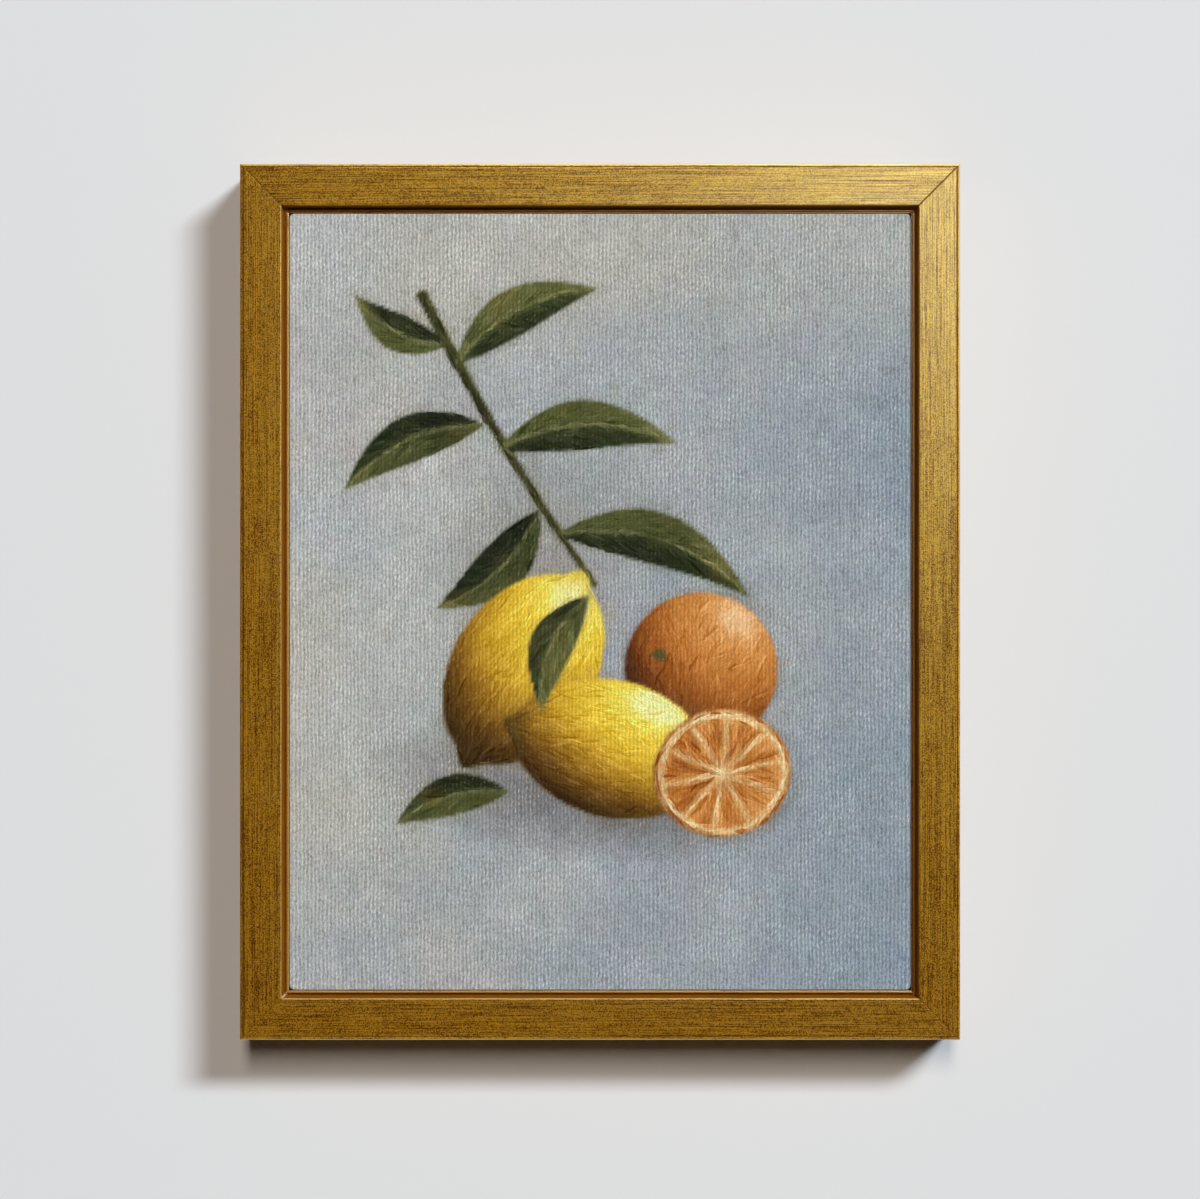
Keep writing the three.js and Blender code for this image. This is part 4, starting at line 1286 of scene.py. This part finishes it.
class PAINTING_OT_stage(bpy.types.Operator):
    """Sets the wall, floor, lights, surroundings and camera."""

    bl_idname = "painting.stage"
    bl_label = "Wall, lights and camera"

    def execute(self, context):
        kept, scene = settings("stage"), context.scene
        y, far, low = float(FRAME_HIGH[1] + WALL_GAP), WALL_REACH, FLOOR
        upright = [(-far, y, low), (far, y, low), (far, y, far), (-far, y, far)]
        level = [(-far, -2 * far, low), (far, -2 * far, low), (far, 2 * far, low), (-far, 2 * far, low)]
        sheet_on_stage("wall", upright, stage_paint(kept.wall, "wall_paint", True))
        floor = sheet_on_stage("floor", level, stage_paint(kept.wall, "floor_paint", False))
        floor.visible_diffuse = floor.visible_glossy = False
        self.light(kept)
        world = scene.world or bpy.data.worlds.new("studio")
        scene.world = world
        self.surround(world)
        camera = bpy.data.objects.new("camera", bpy.data.cameras.new("camera"))
        scene.collection.objects.link(camera)
        camera.data.lens, camera.data.sensor_width = kept.lens, 36.0
        camera.location = (0.0, float(FRAME_LOW[1]) - kept.distance, float(MIDDLE[2]) + kept.drop)
        camera.rotation_euler = (np.pi / 2, 0.0, 0.0)
        camera.data.clip_end = 30.0
        scene.camera = camera
        scene.view_settings.view_transform = "Standard"
        return {"FINISHED"}

    def light(self, kept):
        """Places the lights: for each its degrees to the right and up, its distance and its side, then its
        size, power and colour, and the kind of rays that don't see it."""
        middle, rim = (0.0, 0.0, float(MIDDLE[2])), kept.rim_power
        for name, place, size, power, colour, unseen in (
                ("key", (27.4, 26.8, 12.0, -1), (3.6, 1.7), kept.key_power, (0.93, 1.03, 1.12), "glossy"),
                ("fill", (0.0, 16.2, 12.0, -1), (1.5, 3.1), kept.fill_power, (1.06, 0.93, 0.81), "glossy"),
                ("shine", (9.8, 11.3, 1.55, -1), (0.2, 0.2), kept.shine_power, (0.80, 1.10, 2.7), "diffuse"),
                ("rim_above", (14, 62, 2.5, -1), (1.0, 1.0), rim * 0.85, (1.0, 1.05, 1.5), "diffuse"),
                ("rim_right", (62, 14, 2.5, -1), (1.0, 1.0), rim * 0.22, (1.0, 1.05, 1.5), "diffuse"),
                ("behind_left", (38, 35, 2.4, 1), (1.2, 1.2), 40.0, (1.0, 0.99, 0.97), None),
                ("behind_right", (-42, 20, 2.4, 1), (1.2, 1.2), 22.0, (0.97, 0.99, 1.0), None)):
            held = area_light(name, around(middle, *place), middle, size, power, colour)
            held.data.shape = "ELLIPSE" if name == "key" else "RECTANGLE"
            held.visible_glossy = unseen != "glossy"
            held.visible_diffuse = unseen != "diffuse"

    def surround(self, world):
        """Pale for looks, dim in front for light and reflections, and as bright as the wall behind it. In
        front, reflections are warm, and bright where they come from steeply beside the frame, but not from
        the far left."""
        world.use_nodes = True
        finish = Finish("surroundings", world.node_tree)
        x, y, z = finish.parts(finish.place())
        behind = y.math("GREATER_THAN", 0.0)
        upper = (z * 2.5 + 0.5).held()
        rays = finish.node("ShaderNodeLightPath").outputs
        looks = Number(finish, rays["Is Camera Ray"])
        shine = Number(finish, rays["Is Glossy Ray"])
        gloss = finish.mixed(upper, (0.145, 0.055, 0.001), (0.22, 0.091, 0.003))
        steep = y.between(-0.7, -0.5) * x.between(-0.7, -0.3)
        gloss = finish.mixed(steep * 0.8, gloss, (0.65, 0.60, 1.0))
        room = finish.mixed(shine, (0.012, 0.012, 0.012), gloss)
        unseen = finish.mixed(behind, room, (0.5, 0.5, 0.5))
        colour = finish.mixed(looks, unseen, (0.78, 0.78, 0.78))
        back = finish.node("ShaderNodeBackground", None, {"Color": colour, "Strength": 1.0})
        finish.node("ShaderNodeOutputWorld", None, {"Surface": back.outputs[0]})


class PAINTING_PT_sidebar(bpy.types.Panel):
    """Lists the pieces and the stage in the 3D view's sidebar."""

    bl_label = "Framed canvas painting"
    bl_space_type = "VIEW_3D"
    bl_region_type = "UI"
    bl_category = "Painting"

    def draw(self, context):
        for made in STEPS:
            self.layout.operator(made.bl_idname)


GROUPS = {"rails": PAINTING_PG_rails, "canvas": PAINTING_PG_canvas, "picture": PAINTING_PG_picture,
          "hardware": PAINTING_PG_hardware, "stage": PAINTING_PG_stage}
STEPS = (PAINTING_OT_rails, PAINTING_OT_canvas, PAINTING_OT_strokes, PAINTING_OT_stretcher,
         PAINTING_OT_fasteners, PAINTING_OT_bumpers, PAINTING_OT_stage)


def register():
    """Adds the settings, operators and panel to Blender."""
    for made in (*GROUPS.values(), *STEPS, PAINTING_PT_sidebar):
        bpy.utils.register_class(made)
    for name, group in GROUPS.items():
        setattr(bpy.types.Scene, "painting_" + name, PointerProperty(type=group))


def unregister():
    """Takes them out again."""
    for name in GROUPS:
        delattr(bpy.types.Scene, "painting_" + name)
    for made in (PAINTING_PT_sidebar, *STEPS[::-1], *list(GROUPS.values())[::-1]):
        bpy.utils.unregister_class(made)


def main():
    """Makes every piece in order."""
    register()
    bpy.ops.painting.rails()
    bpy.ops.painting.canvas()
    bpy.ops.painting.strokes()
    bpy.ops.painting.stretcher()
    bpy.ops.painting.fasteners()
    bpy.ops.painting.bumpers()
    bpy.ops.painting.stage()


if __name__ == "__main__":
    main()
